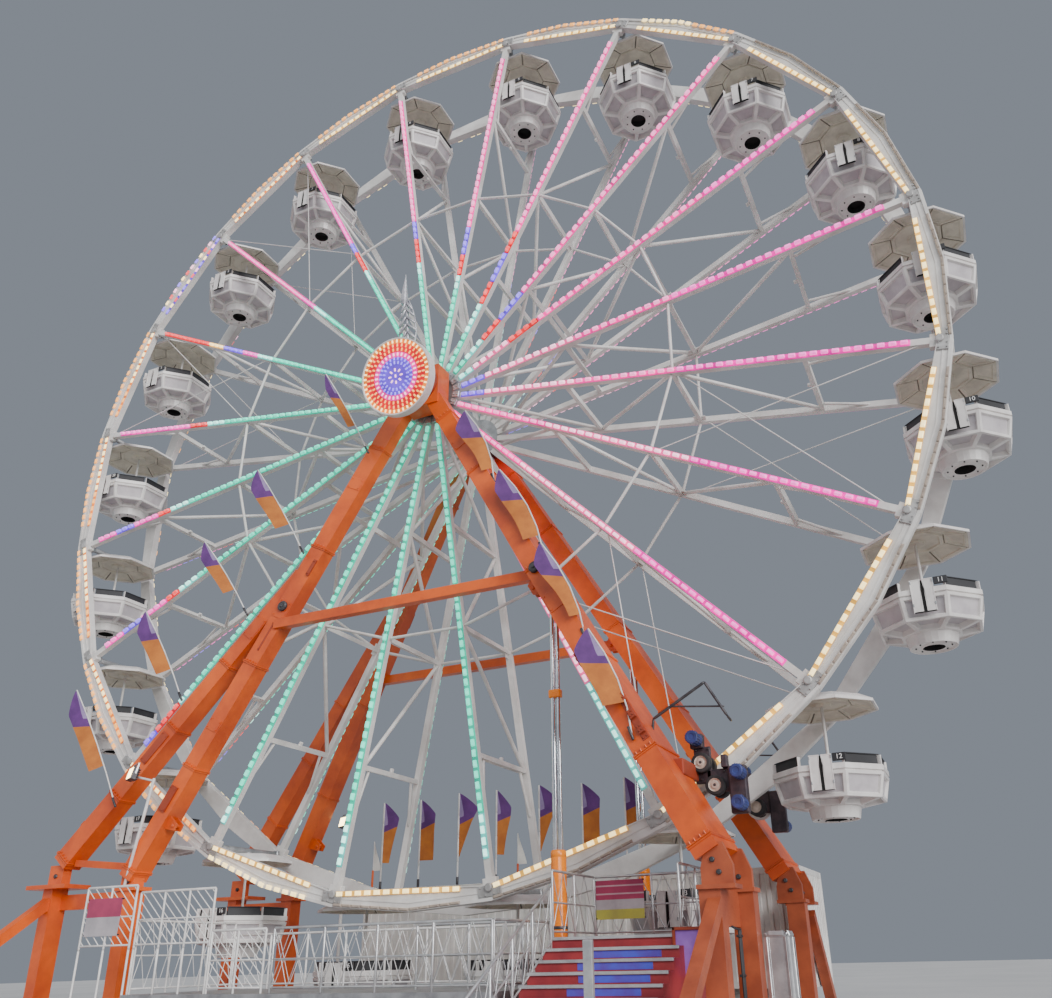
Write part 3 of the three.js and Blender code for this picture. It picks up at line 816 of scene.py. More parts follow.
for side, word in SIDES:
    fittings, brackets, ends = [], [], []
    for leg, shares in FLANGES:
        for share in shares:
            fittings += flange(leg, share, side)
    for leg, share, *rest in LAPS:
        fittings += lap(leg, share, side, *rest)
    for leg, share, *rest in LUGS:
        fittings += lug(leg, share, side, *rest)
    standing(fittings, f"{word}_leg_fittings", "orange_paint", orange_paint)
    for leg, share, *rest in BRACKETS:
        brackets += lap(leg, share, side, *rest)
    standing(brackets, f"{word}_leg_brackets", "orange_paint", orange_shadow)
    for share, leg in ((0.485, LEFT_LEG), (0.535, RIGHT_LEG)):
        place, w = face_place(leg, share, side)
        ends.append(moved(bolt((0, side * 0.03, 0), 0.13, 0.07, -90 * side, 16), place))
        ends.append(moved(bolt((0, side * 0.075, 0), 0.055, 0.05, -90 * side), place))
    standing(ends, f"{word}_crossbar_pins", "galvanised", steel_dark)

# The feet: orange posts on ground sills, with pins through the lugs of the legs, screw jacks
# with round handles, and a bundle of black hydraulic pipes clipped to the right posts.
# The right base is given a darker orange than the left base: painted shade.
base_orange_painted_shade = coat("base_orange_painted_shade", (0.42, 0.092, 0.035), (0.29, 0.060, 0.025), 0.4, patch=1.6, dent=0.002)
dress("right_base", base_orange_painted_shade)
dress("left_base", orange_paint)
PINS = ((7.20, 3.06, 3.40, 3.60, 0.045), (7.20, 3.06, 2.14, 2.34, 0.045),
        (7.30, 2.86, 3.40, 3.60, 0.045),
        (7.30, 2.86, 2.14, 2.34, 0.045), (-8.63, 3.62, 2.84, 3.15, 0.05),
        (-6.56, 3.42, 2.54, 2.92, 0.05))
foot_parts, pipe_parts = [], []
for side in (-1, 1):
    foot_parts += [tube((x, side * near, z), (x, side * far, z), radius, 10, 0.01)
                   for x, z, near, far, radius in PINS]
    for x, y in ((7.13, 3.45), (7.37, 2.275), (-8.69, 2.99), (-6.55, 2.73)):
        foot_parts.append(plate((x - 0.26, side * y - 0.24, 0.235),
                                (x + 0.26, side * y + 0.24, 0.262), 0.008))
        foot_parts += [bolt((x + i, side * y + j, 0.27), 0.022, 0.03, 0)
                       for i in (-0.225, 0.225) for j in (-0.205, 0.205)]
    for i, y in enumerate((2.62, 2.68, 2.74)):
        pipe_parts.append(tube((7.33, side * y, 0.40), (7.33, side * y, 2.02), 0.018, 8, 0.01))
        pipe_parts.append(tube((7.33, side * y, 2.00), (7.33, side * (y + 0.42), 2.02 + 0.01 * i),
                               0.018, 8, 0.01))
    pipe_parts += [plate((7.29, side * 2.58, z - 0.02), (7.355, side * 2.79, z + 0.02))
                   for z in (0.7, 1.3, 1.9)]
standing(foot_parts, "foot_pins", "galvanised", steel_dark)
standing(pipe_parts, "pipe_runs", "galvanised", black_trim)

# The lifting rams: a glossy orange cylinder below, and above it two chromed tubes side by side,
# held by an orange collar half way up and by a pin in a bracket under the leg.
ram_orange = coat("ram_orange", (0.95, 0.27, 0.008), (0.84, 0.19, 0.006), 0.24, patch=1.5, dent=0.001)
chrome = coat("chrome", (0.82, 0.83, 0.85), (0.62, 0.63, 0.66), 0.14, 1.0, patch=2.5, grain=50,
              dent=0.0006)
RAM_X, RAM_Y = 3.9, 2.38
for side, word in SIDES:
    y = side * RAM_Y
    pieces = [part(tube((RAM_X, y, z0), (RAM_X, y, z1), radius, 24, neck, shrink), ram_orange)
              for z0, z1, radius, neck, shrink in ((0.02, 3.50, 0.148, 0.03, 0.12),
                                                   (3.36, 3.47, 0.149, 0.01, 0.06))]
    pieces += [part(tube((x, y, 3.44), (x, y, 8.36), radius, 20, 0.02, 0.1), chrome)
               for x, radius in ((3.842, 0.052), (3.955, 0.040))]
    pieces += [part(plate((3.76, y - 0.075, 6.45), (4.02, y + 0.075, 6.62), 0.03, 3), ram_orange),
               part(plate((3.80, y - 0.09, 8.30), (4.00, y + 0.09, 8.48), 0.02, 2), orange_paint)]
    pieces += [part(tube((RAM_X, y, z), (RAM_X, y, z + 0.07), 0.1495, 24, 0.008, 0.04), steel_dark)
               for z in (1.0, 2.1)]
    pieces.append(part(tube((4.03, y, 0.4), (4.03, y, 3.2), 0.018, 8, 0.02), black_trim))
    ram = standing(pieces, f"{word}_ram_body", "ram_orange")
    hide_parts(f"{word}_ram")

# Two rubber tyres press on each rim from a dark gearbox plate on the right leg. Blue motors with
# cooling fins turn them through their own gearboxes.
rubber = coat("rubber", (0.035, 0.034, 0.036), (0.018, 0.018, 0.020), 0.75, patch=6, grain=140,
              dent=0.003)
hub_beige = coat("hub_beige", (0.62, 0.52, 0.44), (0.45, 0.36, 0.30), 0.5, patch=9)
drive_blue = coat("drive_blue", (0.035, 0.055, 0.22), (0.022, 0.032, 0.12), 0.5, patch=5)
gearbox_dark = coat("gearbox_dark", (0.085, 0.060, 0.070), (0.045, 0.035, 0.045), 0.5, 0.3, patch=6)
TYRES = ((6.66, 4.97), (6.90, 4.53))
MOTORS = ((6.58, 5.42), (7.38, 4.72), (7.36, 4.16))
DRIVE_PLATES = ((6.48, 6.82, 1.62, 1.69, 4.60, 5.30, 0.03), (6.70, 7.30, 1.62, 1.69, 4.42, 4.86, 0.03),
                (6.44, 6.70, 1.60, 1.78, 5.26, 5.54, 0.03), (7.14, 7.48, 1.60, 1.78, 4.00, 4.88, 0.03),
                (7.02, 7.14, 1.60, 1.78, 4.86, 5.10, 0.02))
DRIVE_BOLTS = ((6.54, 5.24), (6.78, 5.24), (7.06, 4.80), (7.06, 4.48), (6.62, 4.68))
for side, word in SIDES:
    pieces = []
    for x, z in TYRES:
        for y, depth in ((1.49, 0.23), (1.80, 0.15)):
            cylinder(28, 0.186, depth, (x, side * y, z), 90)
            tyre = settled("tyre", rubber, hub_beige)
            mode("EDIT")
            inset(lambda m, n: abs(n.y) > 0.9, (0.014, 0.012), (0.050, 0.006), (0.012, -0.035),
                  (0.040, 0.012), (0.010, 0.022), each=True)
            mode("OBJECT")
            for face in tyre.data.polygons:
                middle = face.center
                face.material_index = 1 if hypot(middle.x - x, middle.z - z) < 0.118 else 0
                face.use_smooth = abs(face.normal.y) < 0.5
            pieces.append(tyre)
        pieces.append(part(tube((x, side * 1.55, z), (x, side * 1.90, z), 0.032, 12, 0.01), steel_dark))
    pieces += [part(plate((x0, side * near, z0), (x1, side * far, z1), chamfer, 2), gearbox_dark)
               for x0, x1, near, far, z0, z1, chamfer in DRIVE_PLATES]
    arm = plate((6.18, side * 1.70, 4.64), (6.56, side * 2.66, 4.94), 0.025, 2)
    pieces.append(part(arm, orange_shadow))
    for x, z in MOTORS:
        cylinder(32, 0.122, 0.36, (x, side * 1.94, z), 90)
        motor = settled("motor", drive_blue)
        mode("EDIT")
        inset(lambda m, n: abs(n.y) < 0.5 and (atan2(m.z - z, m.x - x) * 32 / tau) % 2 < 1,
              (0.004, 0.007), each=True)
        inset(lambda m, n: abs(n.y) > 0.9, (0.012, 0.008), (0.045, 0.0), (0.008, -0.010), each=True)
        mode("OBJECT")
        pieces.append(motor)
        terminals = plate((x - 0.06, side * 1.84, z + 0.10), (x + 0.06, side * 2.00, z + 0.138),
                          0.012, 2)
        gears = tube((x, side * 1.69, z), (x, side * 1.78, z), 0.135, 14, 0.015)
        pieces += [part(terminals, drive_blue), part(gears, gearbox_dark)]
    pieces += [part(bolt((x, side * 1.708, z), 0.020, 0.02, -90 * side), steel_dark)
               for x, z in DRIVE_BOLTS]
    if side > 0:
        brake = tube((6.88, 1.69, 4.59), (6.88, 1.96, 4.59), 0.28, 28, 0.06, 0.30)
        pieces.append(part(brake, white_paint))
    drive = standing(pieces, f"{word}_rim_drive", "drive_blue")
    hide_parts(f"{word}_drive")

    corners = [(x, side * y, z) for x, y, z in (
        (6.02, 2.62, 5.72), (7.06, 2.62, 6.30), (7.44, 2.62, 5.62), (6.36, 2.62, 5.92),
        (7.40, 2.62, 5.80), (7.44, 2.35, 5.58), (6.02, 2.75, 5.30))]
    boom = [tube(corners[a], corners[b], radius, 8) for a, b, radius in (
        (0, 1, 0.030), (1, 2, 0.026), (3, 4, 0.018), (2, 5, 0.024), (0, 6, 0.026))]
    standing(boom, f"{word}_limit_arm", "galvanised", steel_dark)

# The lit sign in front of the apex is a white sheet-metal drum. Its face has a coloured ring behind each
# row of lamps, with the lamps' spilled light painted on it as a glow, and a star of lamps in the middle.
sign_white = coat("sign_white", (0.82, 0.80, 0.78), (0.68, 0.66, 0.64), 0.4, patch=3)
sign_tilt = shift(-0.05, -2.90, 15.02) @ spin(104, "X")
cylinder(56, 0.998, 0.25)
drum = settled("drum", sign_white, *[painted_glow_of[tone] for tone in ("amber", "red", "pink", "violet")])
mode("EDIT")
for step in ((0.03, 0.0), (0.012, -0.020), (0.106, 0.0), (0.22, 0.0), (0.14, 0.0)):
    inset(lambda m, n: n.z > 0.9 and hypot(m.x, m.y) < 0.01, step)
inset(lambda m, n: n.z < -0.9, (0.05, -0.02))
inset(lambda m, n: abs(n.z) < 0.1, (0.022, -0.004))
mode("OBJECT")
# The rings on the face take the strips' painted glow of spilled lamp light.
for face in drum.data.polygons:
    r = hypot(face.center.x, face.center.y)
    if face.normal.z > 0.9 and r < 0.955:
        face.material_index = 1 if r > 0.85 else 2 if r > 0.63 else 3 if r > 0.49 else 4
parts = [drum]
star = plate((-0.023, -0.042, 0), (0.023, 0.042, 0.022), 0.010)
RINGS = ((0.908, 44, "warm"), (0.800, 38, "amber"), (0.690, 34, "amber"), (0.565, 30, "blush"),
         (0.455, 25, "violet"), (0.350, 20, "violet"), (0.0, 1, "blush"), (0.165, 8, "blush"))
for radius, count, tone in RINGS:
    ring = [spin(360 * i / count, "Z") @ shift(0, radius, 0.105) for i in range(count)]
    parts.append(part(copied(star, ring, "sign_row", keep=True), lens_of[tone]))
bpy.data.objects.remove(star)
sign = moved(joined(parts, "sign_drum"), sign_tilt)
arm = part(plate((-0.11, -2.78, 14.96), (0.27, -1.96, 15.29), 0.02, 2), orange_shadow)
sign = standing([sign, arm], "lit_sign", "sign_face")
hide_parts("hub_sign")

# The spire over the front apex carries a lattice of bent strips and a long spear point. Under it
# the top of the right leg stands in for the solid's, and round covers close the two bearings.
spire_grey = coat("spire_grey", (0.60, 0.59, 0.62), (0.40, 0.39, 0.43), 0.4, 0.6, patch=3)
apex = bpy.data.objects.new("right_leg_apex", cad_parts["front_right_leg"].data.copy())
bpy.context.collection.objects.link(apex)
alone(apex)
mode("EDIT")
pick_all()
bpy.ops.mesh.remove_doubles(threshold=0.0002)
pick_all()
bpy.ops.mesh.bisect(plane_co=(0, 0, 16.42), plane_no=(0, 0, 1), use_fill=True, clear_outer=True)
mode("OBJECT")
apex = standing([apex], "right_leg_apex", "orange_paint", orange_paint)
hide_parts("front_right_leg")
foot_point, head_point = Vector((-0.612, -1.644, 16.30)), Vector((-0.850, -1.700, 19.48))
rise = head_point - foot_point
LEAF = ((0.02, 0.06), (0.16, 0.16), (0.34, 0.27), (0.50, 0.24), (0.62, 0.15), (0.70, 0.06))


def leaf_half(share):
    """Half the width of the leaf at that share of the spire's height."""
    for (s0, w0), (s1, w1) in zip(LEAF, LEAF[1:]):
        if share <= s1:
            return w0 + (w1 - w0) * (share - s0) / (s1 - s0)
    return LEAF[-1][1]


strips = [tube(foot_point, foot_point + rise * 0.74, 0.045, 12, 0.02)]
for i in range(8):
    share = 0.04 + 0.078 * i
    for way in (-1, 1):
        a = foot_point + rise * share + Vector((way * leaf_half(share), -0.02, 0))
        b = foot_point + rise * (share + 0.085) + Vector((way * 0.016, -0.05, 0))
        strips.append(tube(a, b, 0.034, 6, 0.012))
for way in (-1, 1):
    for (s0, w0), (s1, w1) in zip(LEAF, LEAF[1:]):
        strips.append(tube(foot_point + rise * s0 + Vector((way * w0, 0, 0)),
                           foot_point + rise * s1 + Vector((way * w1, 0, 0)), 0.020, 8, 0.006, 0.1))
fresh(bpy.ops.mesh.primitive_cone_add, vertices=12, radius1=0.122, radius2=0.003, depth=0.98,
      location=head_point - Vector((0, 0, 0.49)))
bpy.ops.object.transform_apply(location=True, rotation=True, scale=True)
mode("EDIT")
inset(lambda m, n: n.z < -0.9, (0.05, 0.10))
mode("OBJECT")
strips.append(bpy.context.object)
standing(strips, "spire_lattice", "galvanised", spire_grey)

cover = []
for side in (-1, 1):
    cylinder(32, 0.50, 0.05, (0, side * 1.975, HUB_HEIGHT), 90)
    settled("bearing_cover")
    mode("EDIT")
    inset(lambda m, n: n.y * side > 0.9, (0.06, 0.02), (0.10, -0.015), (0.10, 0.03))
    mode("OBJECT")
    cover.append(bpy.context.object)
    for i in range(8):
        a = tau * (i + 0.5) / 8
        at = (0.41 * cos(a), side * 2.02, HUB_HEIGHT + 0.41 * sin(a))
        cover.append(bolt(at, 0.030, 0.03, -90 * side))
standing(cover, "bearing_covers", "orange_paint", orange_shadow)

# The trailer body behind the wheel is white ribbed sheet on a frame, with corner posts, a cornice
# along the roof, and a dark skirt of equipment lockers.
LEFT, RIGHT, FRONT, BACK = -4.80, 7.25, 3.6903, 6.40
WALL, RIB_PITCH = 0.030, 0.2408
body = plate((LEFT + WALL, FRONT + WALL, 0.90), (RIGHT - WALL, BACK - WALL, 3.46), 0.02, 2)
boxes = [part(body, white_paint)]
for left, right in ((-4.60, -3.40), (4.30, 6.80)):
    box = plate((left, 3.90, 0.0), (right, 6.20, 0.92), 0.012)
    mode("EDIT")
    inset(lambda m, n: abs(n.y) > 0.9, (0.10, 0), (0.02, -0.03), each=True)
    mode("OBJECT")
    boxes.append(part(box, joint_grey))
rib = part(plate((-0.055, 0.001, 1.04), (0.055, 0.040, 3.36), 0.014), white_paint)
ribs = [shift(-4.60 + RIB_PITCH * i, FRONT, 0) for i in range(49)]
ribs += [shift(-4.60 + RIB_PITCH * i, BACK, 0) @ spin(180, "Z") for i in range(49)]
ribs += [shift(x, 3.90 + 0.24 * i, 0) @ spin(turn, "Z")
         for i in range(11) for x, turn in ((LEFT, -90), (RIGHT, 90))]
boxes.append(copied(rib, ribs, "ribs"))
trailer = standing(boxes, "trailer_body", "white_paint")
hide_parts("trailer")
BANDS = ((3.34, 3.479), (0.905, 1.05))
trim = [plate((LEFT, y0, z0), (RIGHT, y1, z1))
        for y0, y1 in ((FRONT, 3.73), (6.36, BACK)) for z0, z1 in BANDS]
for x0, x1 in ((LEFT, -4.76), (7.21, RIGHT)):
    trim += [plate((x0, 3.73, z0), (x1, 6.36, z1)) for z0, z1 in BANDS]
    trim += [plate((x0, y, 1.05), (x1, y + 0.04, 3.34), 0.004) for y in (3.69, 6.36)]
trim += [plate((-4.60 + 0.98 * i, 3.74, 3.455), (-4.54 + 0.98 * i, 6.35, 3.472), 0.003)
         for i in range(13)]
standing(trim, "trailer_trim", "white_paint", white_paint)

# The riders' deck is a plate of galvanised chequer sheet on a frame, and the landing has dark red
# steps with bright nosings. Both have fences of round rail with slanted or crossed bars; a switch
# cabinet stands at the right, and a gate post before the steps.
deck_sheet = coat("deck_sheet", (0.42, 0.42, 0.43), (0.28, 0.28, 0.29), 0.5, 0.7, patch=3, grain=90,
                  dent=0.004)
tread_red = coat("tread_red", (0.34, 0.035, 0.040), (0.22, 0.022, 0.030), 0.5, patch=1.6, dent=0.003)
# Blue light that glows over six risers is painted on them as ragged blue patches.
riser_painted_blue_light = coat("riser_painted_blue_light", (0.07, 0.09, 0.62), (0.10, 0.05, 0.38), 0.45, patch=2.2)
rail_silver = coat("rail_silver", (0.66, 0.66, 0.66), (0.48, 0.48, 0.49), 0.35, 0.75, patch=3)
rail_white = coat("rail_white", (0.80, 0.78, 0.76), (0.62, 0.60, 0.58), 0.4, patch=3)
dress("steps", tread_red)
dress("chassis", deck_sheet)
dress("loading_deck", deck_sheet)
DECK, LANDING, STEPS = 1.15, 1.95, 11
GOING, RISE = 0.30, LANDING / STEPS
nosing, blue_light_patches = [], []
for i in range(STEPS):
    y, z = -3.45 - GOING * i, LANDING - RISE * i
    nosing.append(plate((4.20, y - 0.030, z - 0.046), (6.60, y + 0.05, z + 0.006), 0.006))
    # Painted blue light on the risers, as a ragged patch on each.
    if 1 <= i <= 6:
        left, right = 5.10 - 0.07 * (i % 3), 6.25 + 0.05 * (i % 2)
        blue_light_patches.append(plate((left, y - 0.004, z - RISE + 0.02), (right, y + 0.01, z - 0.05), 0.002))
standing(nosing, "step_nosings", "galvanised", rail_silver)
standing(blue_light_patches, "riser_blue_light_patches", "tread_red", riser_painted_blue_light)


def fence(a, b, height, bays, crosses, crossed=True):
    """A fence from foot a to foot b: posts, three rails, and slanted or crossed bars."""
    a, b = Vector(a), Vector(b)
    run, up = b - a, Vector((0, 0, 1))
    parts = [tube(a + up * height, b + up * height, 0.024, 8, 0.01),
             tube(a + up * height * 0.52, b + up * height * 0.52, 0.016, 6, 0.01),
             tube(a + up * 0.10, b + up * 0.10, 0.018, 6, 0.01)]
    for i in range(bays + 1):
        foot = a + run * i / bays
        parts.append(tube(foot, foot + up * height, 0.022, 8, 0.01))
    for i in range(crosses):
        if crossed:
            p, q = a + run * i / crosses, a + run * (i + 1) / crosses
            parts += [tube(foot + up * 0.10, head + up * height, 0.009, 4, 0.01)
                      for foot, head in ((p, q), (q, p))]
        else:
            reach = height / run.length
            start = (1 + reach) * (i + 0.5) / crosses - reach
            ends = [a + run * s + up * (height - (s - start) / reach * (height - 0.10))
                    for s in (max(0.0, start), min(1.0, start + reach))]
            parts.append(tube(*ends, 0.012, 4, 0.01))
    return parts


fences = []
for a, b, height, bays, crosses in (
        ((4.24, -1.45, LANDING), (6.56, -1.45, LANDING), 1.10, 2, 5),
        ((4.24, -1.50, LANDING), (4.24, -3.42, LANDING), 1.10, 2, 4),
        ((6.56, -1.50, LANDING), (6.56, -3.42, LANDING), 1.10, 2, 4),
        ((4.24, -3.50, LANDING - RISE), (4.24, -6.40, 0.10), 1.02, 4, 8),
        ((-1.0, -4.36, DECK), (3.56, -4.36, DECK), 1.10, 4, 12),
        ((3.56, -4.30, DECK), (3.56, -1.75, DECK), 1.10, 2, 6),
        ((1.3, -3.10, DECK), (3.5, -3.10, DECK), 1.10, 2, 6)):
    fences += fence(a, b, height, bays, crosses)
standing(fences, "landing_fences", "galvanised", rail_silver)
panel_purple = coat("panel_purple", (0.36, 0.16, 0.60), (0.26, 0.10, 0.46), 0.5, patch=2.5)
panel = [part(plate((6.46, -3.50, 1.30), (7.02, -3.46, 2.02), 0.008), panel_purple)]
for x0, z0, x1, z1 in ((6.42, 1.26, 7.06, 1.31), (6.42, 2.00, 7.06, 2.05),
                       (6.42, 1.26, 6.47, 2.05), (7.01, 1.26, 7.06, 2.05)):
    panel.append(part(plate((x0, -3.53, z0), (x1, -3.44, z1), 0.008), orange_shadow))
standing(panel, "side_panel", "tread_red")
cabinet = plate((7.60, -2.10, 0.35), (8.00, -1.60, 1.95), 0.02, 2)
mode("EDIT")
inset(lambda m, n: n.y < -0.9 or n.x > 0.9, (0.05, 0), (0.008, -0.012), each=True)
mode("OBJECT")
stand = plate((7.62, -2.08, 0.0), (7.98, -1.62, 0.36), 0.01)
standing([part(cabinet, rail_silver), part(stand, steel_dark)], "switch_cabinet", "galvanised")
post = plate((6.17, -6.66, 0.0), (6.31, -6.59, 1.85), 0.012, 2)
foot = plate((6.10, -6.73, 0.0), (6.38, -6.52, 0.015), 0.004)
bolts = [bolt((x, y, 0.022), 0.014, 0.016, 0) for x in (6.13, 6.35) for y in (-6.70, -6.55)]
standing([post, foot] + bolts, "gate_post", "galvanised", rail_silver)
queue = fence((-2.55, -4.30, DECK), (-1.25, -4.30, DECK), 1.10, 2, 12, False)
queue += fence((-4.55, -4.30, LANDING), (-2.60, -4.30, LANDING), 1.08, 3, 15, False)
queue += fence((-6.00, -4.36, LANDING), (-4.62, -4.36, LANDING), 1.22, 2, 12, False)
queue += [tube((x, y, z), (x, y, 2.00), 0.022, 8, 0.01) for y, z, row in (
    (-4.36, 0.0, (-6.00, -5.31, -4.62)), (-4.30, DECK, (-4.55, -3.90, -3.25, -2.60))) for x in row]
queue += fence((-4.55, -1.45, DECK), (3.5, -1.45, DECK), 1.10, 8, 20)
queue += fence((-4.55, -4.25, DECK), (-4.55, -1.50, DECK), 1.35, 3, 8)
standing(queue, "queue_fences", "white_paint", rail_white)


# Two banners of printed polyester, in plain bands of colour, are stretched on the fences.
# They are laced to the rails by their corners.
def cloth(name, colour, shade):
    """Printed polyester: clouded colour, a soft sheen, and a fine weave."""
    finish = coat(name, colour, shade, 0.75, patch=2.5, grain=220, dent=0.0015)
    body = finish.node_tree.nodes["Principled BSDF"]
    body.inputs["Sheen Weight"].default_value = 0.06
    body.inputs["Sheen Roughness"].default_value = 0.5
    return finish


banner_red = cloth("banner_red", (0.42, 0.050, 0.12), (0.33, 0.040, 0.10))
banner_pale = cloth("banner_pale", (0.58, 0.36, 0.40), (0.48, 0.28, 0.33))
banner_grey = cloth("banner_grey", (0.46, 0.42, 0.44), (0.36, 0.33, 0.35))
banner_lime = cloth("banner_lime", (0.46, 0.44, 0.07), (0.36, 0.34, 0.08))
flag_purple = cloth("flag_purple", (0.120, 0.032, 0.185), (0.080, 0.020, 0.130))
flag_orange = cloth("flag_orange", (0.52, 0.165, 0.022), (0.40, 0.115, 0.018))
pennant_white = cloth("pennant_white", (0.82, 0.80, 0.76), (0.68, 0.66, 0.62))


def upright(name, cells, size, *finishes):
    """A flat upright sheet round the origin, with so many cells across and down."""
    fresh(bpy.ops.mesh.primitive_grid_add, x_subdivisions=cells[0], y_subdivisions=cells[1], size=1,
          rotation=(radians(90), 0, 0))
    bpy.context.object.scale = (*size, 1)
    return settled(name, *finishes)


def cloth_sheet(name, width, length, place, bands):
    """A sheet hung from its top edge, across X and down from z 0, in bands of (share, finish)."""
    sheet = upright(name, (8, 24), (width, length), *[finish for _, finish in bands])
    for point in sheet.data.vertices:
        x, z = point.co.x, point.co.z - length / 2
        point.co = (x, 0.008 * sin(5.5 * x / width + 4 * z / length) * (0.35 - z / length), z)
    for face in sheet.data.polygons:
        down = -face.center.z / length
        face.material_index = sum(down > share for share, _ in bands[:-1])
        face.use_smooth = True
    return moved(sheet, place)


banner = cloth_sheet("landing_banner", 0.98, 0.70, shift(4.76, -1.49, 2.98),
                     ((0.12, banner_red), (0.17, banner_pale), (0.33, banner_red), (0.38, banner_pale),
                      (0.50, banner_red), (0.76, banner_grey), (1.0, banner_lime)))
on_body(banner, "structure")
banner = cloth_sheet("queue_banner", 0.95, 0.72, shift(-5.42, -4.40, 2.95),
                     ((0.52, banner_red), (1.0, banner_grey)))
on_body(banner, "structure")
ties = [tube((x, y - 0.012, z), (x, y + 0.045, z), 0.014, 8, 0.004) for left, right, y, top, bottom in (
    (4.28, 5.24, -1.485, 2.97, 2.30), (-5.88, -4.96, -4.395, 2.93, 2.25))
    for z in (top, bottom) for x in (left, right)]
standing(ties, "banner_ties", "galvanised", black_trim)

# Feather flags stand on the legs and along the trailer's roof: a cloth cut to a point, purple above
# with a pale lilac edge and orange below, sleeved on a thin white pole that stands in a socket.
flag_lilac = cloth("flag_lilac", (0.30, 0.22, 0.40), (0.23, 0.16, 0.32))


def feather(name, foot, tip, share, across, width, blown=0.0, bow=0.0, thick=0.016):
    """A flag on the top share of its pole, flying across from it; blown draws its foot to the pole."""
    foot, tip = Vector(foot), Vector(tip)
    length = (tip - foot).length
    height = length * share
    up = (tip - foot).normalized()
    across = (Vector(across) - up * up.dot(Vector(across))).normalized()
    place = Matrix.Translation(foot) @ Matrix((across, up.cross(across), up)).transposed().to_4x4()

    def bent(z):
        return -4 * bow * z / length * (1 - z / length)

    flag = upright(name, (8, 28), (1, height), flag_purple, flag_orange, flag_lilac)
    for face in flag.data.polygons:
        s, u = face.center.z / height + 0.5, face.center.x + 0.5
        face.material_index = 1 if s < 0.5 else 2 if u < 0.25 and s > 0.60 else 0
        face.use_smooth = True
    for point in flag.data.vertices:
        s = point.co.z / height + 0.5
        z = length - height * (1 - s - 0.10 * (point.co.x + 0.5) * sin(pi * s))
        swell = width * min(1.0, 0.86 + 0.3 * s) * min(1.0, (1.001 - s) / 0.34) ** 0.85
        swell *= 1 - blown * max(0.0, 0.62 - s) / 0.66
        x = (point.co.x + 0.5) * swell
        point.co = (x + 0.014 + bent(z), 0.05 * sin(6.5 * s + 4 * x) * x / width, z)
    moved(flag, place)
    steps = [length * i / 4 for i in range(5)]
    pole = joined([tube(place @ Vector((bent(a), 0, a)), place @ Vector((bent(b), 0, b)), thick, 8, 0.01)
                   for a, b in zip(steps, steps[1:])], "pole", rail_white)
    socket = part(tube(foot - up * 0.05, foot + up * 0.22, thick + 0.012, 8, 0.01), steel_dark)
    standing([pole, socket], name + "_pole", "white_paint")
    on_body(flag, "structure")


LEFT_FLAGS = ((-7.13, 5.12, -9.16, 8.14, -3.10, 0.38), (-5.59, 7.47, -7.25, 9.97, -3.05, 0.40),
              (-4.17, 9.48, -5.89, 11.75, -2.75, 0.32), (-3.02, 11.07, -4.84, 13.85, -2.30, 0.42),
              (-1.41, 13.64, -3.02, 16.51, -2.10, 0.22))
LEG_FLAG_WAY = (-0.92, -0.40, 0)
RIGHT_FLAGS = ((5.85, 5.25, 5.05, 7.45, -3.36, 0.70, (-0.80, -0.60, 0), 0.54, 0.0),
               (4.84, 7.41, 3.89, 9.65, -3.00, 0.78, (-0.82, -0.57, 0), 0.44, 0.4),
               (3.75, 9.67, 2.68, 11.89, -2.60, 0.84, LEG_FLAG_WAY, 0.43, 0.0),
               (2.38, 11.82, 1.56, 13.94, -2.30, 0.84, LEG_FLAG_WAY, 0.50, 0.4))
ROOF_FLAGS = ((-4.45, 5.85, 35, 0.42, 0.5), (-3.21, 5.83, 5, 0.46, 0), (-1.97, 5.91, 5, 0.56, 1),
              (-0.79, 5.90, 52, 0.42, 0.4), (0.50, 5.92, 10, 0.54, 1), (1.75, 5.86, 0, 0.50, 0),
              (2.95, 5.91, 15, 0.50, 0.6))
ROOF_POLE_Y, ROOF = 3.90, 3.48
for i, (x0, z0, x1, z1, y, width) in enumerate(LEFT_FLAGS):
    feather(f"left_leg_flag_{i + 1}", (x0, y, z0), (x1, y, z1), 0.68, LEG_FLAG_WAY, width, bow=0.05)
for i, (x0, z0, x1, z1, y, *rest) in enumerate(RIGHT_FLAGS):
    feather(f"right_leg_flag_{i + 1}", (x0, y, z0), (x1, y, z1), *rest, bow=0.17)
for i, (x, z, turn, width, blown) in enumerate(ROOF_FLAGS):
    feather(f"roof_flag_{i + 1}", (x, ROOF_POLE_Y, ROOF), (x, ROOF_POLE_Y, z), 0.70,
            (cos(radians(turn)), sin(radians(turn)), 0), width, blown, thick=0.024)

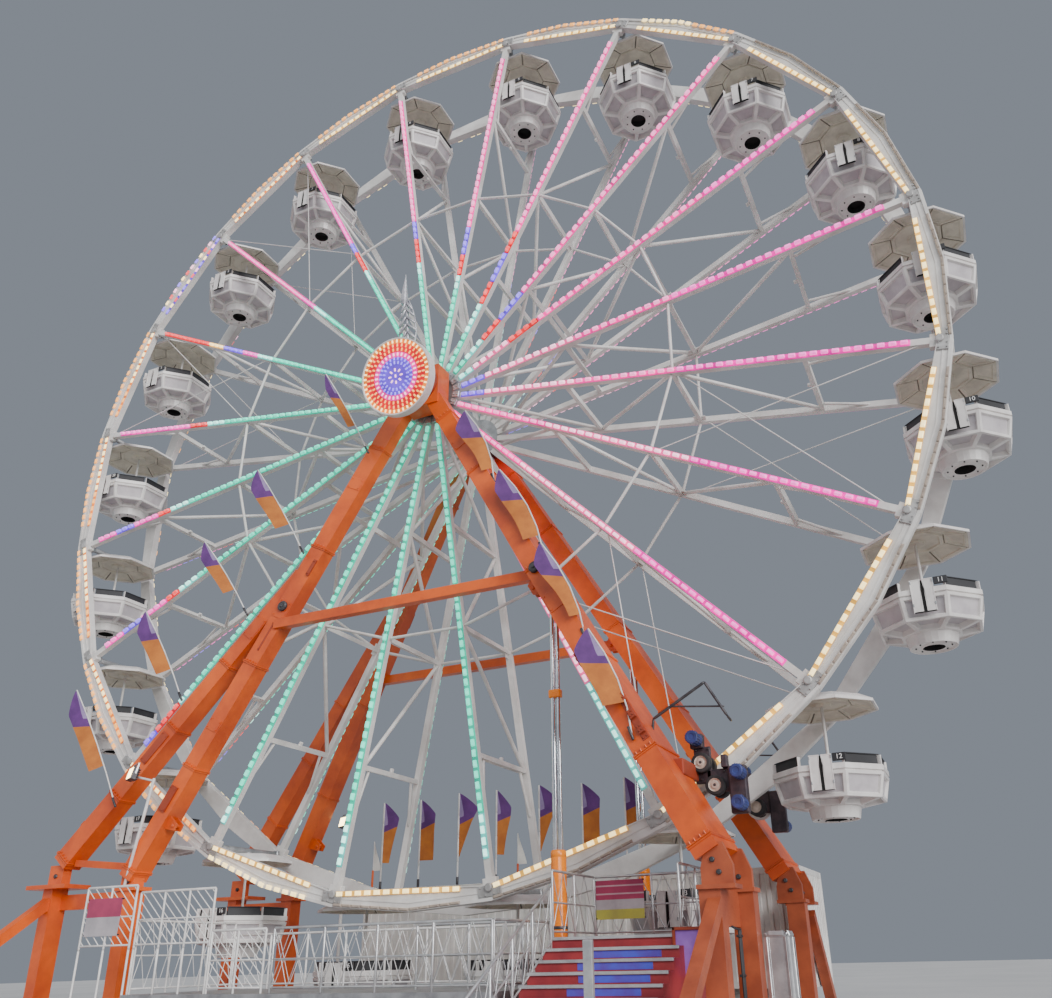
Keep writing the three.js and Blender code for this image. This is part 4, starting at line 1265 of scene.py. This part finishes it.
# Two small white pennants, each cut to a point, stand between the roof flags, on thin sticks
# in orange sleeves.
for i, (x, z) in enumerate(((-4.72, 4.79), (-0.14, 4.72))):
    pennant = upright(f"pennant_{i + 1}", (4, 8), (0.26, 0.78), pennant_white)
    for point in pennant.data.vertices:
        s, u = point.co.z / 0.78 + 0.5, point.co.x / 0.26 + 0.5
        point.co = (x + 0.012 + u * 0.26 * max(0.02, 1.0 - s), ROOF_POLE_Y + 0.02 * sin(6 * s) * u,
                    z - 0.80 + s * 0.78)
    on_body(pennant, "structure")
    sleeve = part(tube((x, ROOF_POLE_Y, ROOF), (x, ROOF_POLE_Y, z - 0.78), 0.030, 8, 0.02), orange_paint)
    stick = part(tube((x, ROOF_POLE_Y, z - 0.80), (x, ROOF_POLE_Y, z), 0.010, 8, 0.01), rail_white)
    standing([sleeve, stick], f"pennant_{i + 1}_pole", "white_paint")

# Flood lamps: a finned aluminium box with a glass front in a stirrup, one on the front strut and
# one on a pole beside the rear legs.
flood_glass = lens_finish("warm", True)
flood_glass.name = "flood_glass"
flood_glass.node_tree.nodes["Principled BSDF"].inputs["Emission Strength"].default_value = 9.0
for i, (x, y, z) in enumerate(((-6.53, -3.28, 5.76), (-5.35, 3.25, 5.30))):
    box = [plate((-0.19, -0.05, -0.15), (0.19, 0.08, 0.15), 0.012, 2)]
    box += [plate((-0.16, 0.08, -0.12 + 0.055 * j), (0.16, 0.13, -0.105 + 0.055 * j), 0.003)
            for j in range(5)]
    glass = plate((-0.165, -0.062, -0.125), (0.165, -0.046, 0.125), 0.008)
    stirrup = [plate((x0, 0.0, z0), (x1, 0.04, 0.24), 0.004)
               for x0, x1, z0 in ((-0.215, -0.195, -0.02), (0.195, 0.215, -0.02), (-0.215, 0.215, 0.22))]
    lamp = joined([joined(box, "flood_box", steel_dark), part(glass, flood_glass),
                   joined(stirrup, "stirrup", rail_silver)], "flood_lamp")
    moved(lamp, shift(x, y, z) @ spin(-28, "Z") @ spin(-12, "X"))
    post = [tube((x, y + 0.16, 0.0), (x, y + 0.16, z + 0.1), 0.045, 10, 0.02)] if i else [
        tube((-6.10, -3.02, 5.66), (-6.62, -2.92, 3.29), 0.036, 10, 0.02),
        tube((x, y + 0.10, z - 0.05), (-6.12, -3.02, 5.60), 0.026, 8, 0.02)]
    standing([lamp, joined(post, "post", rail_white)], f"flood_lamp_{i + 1}", "galvanised")
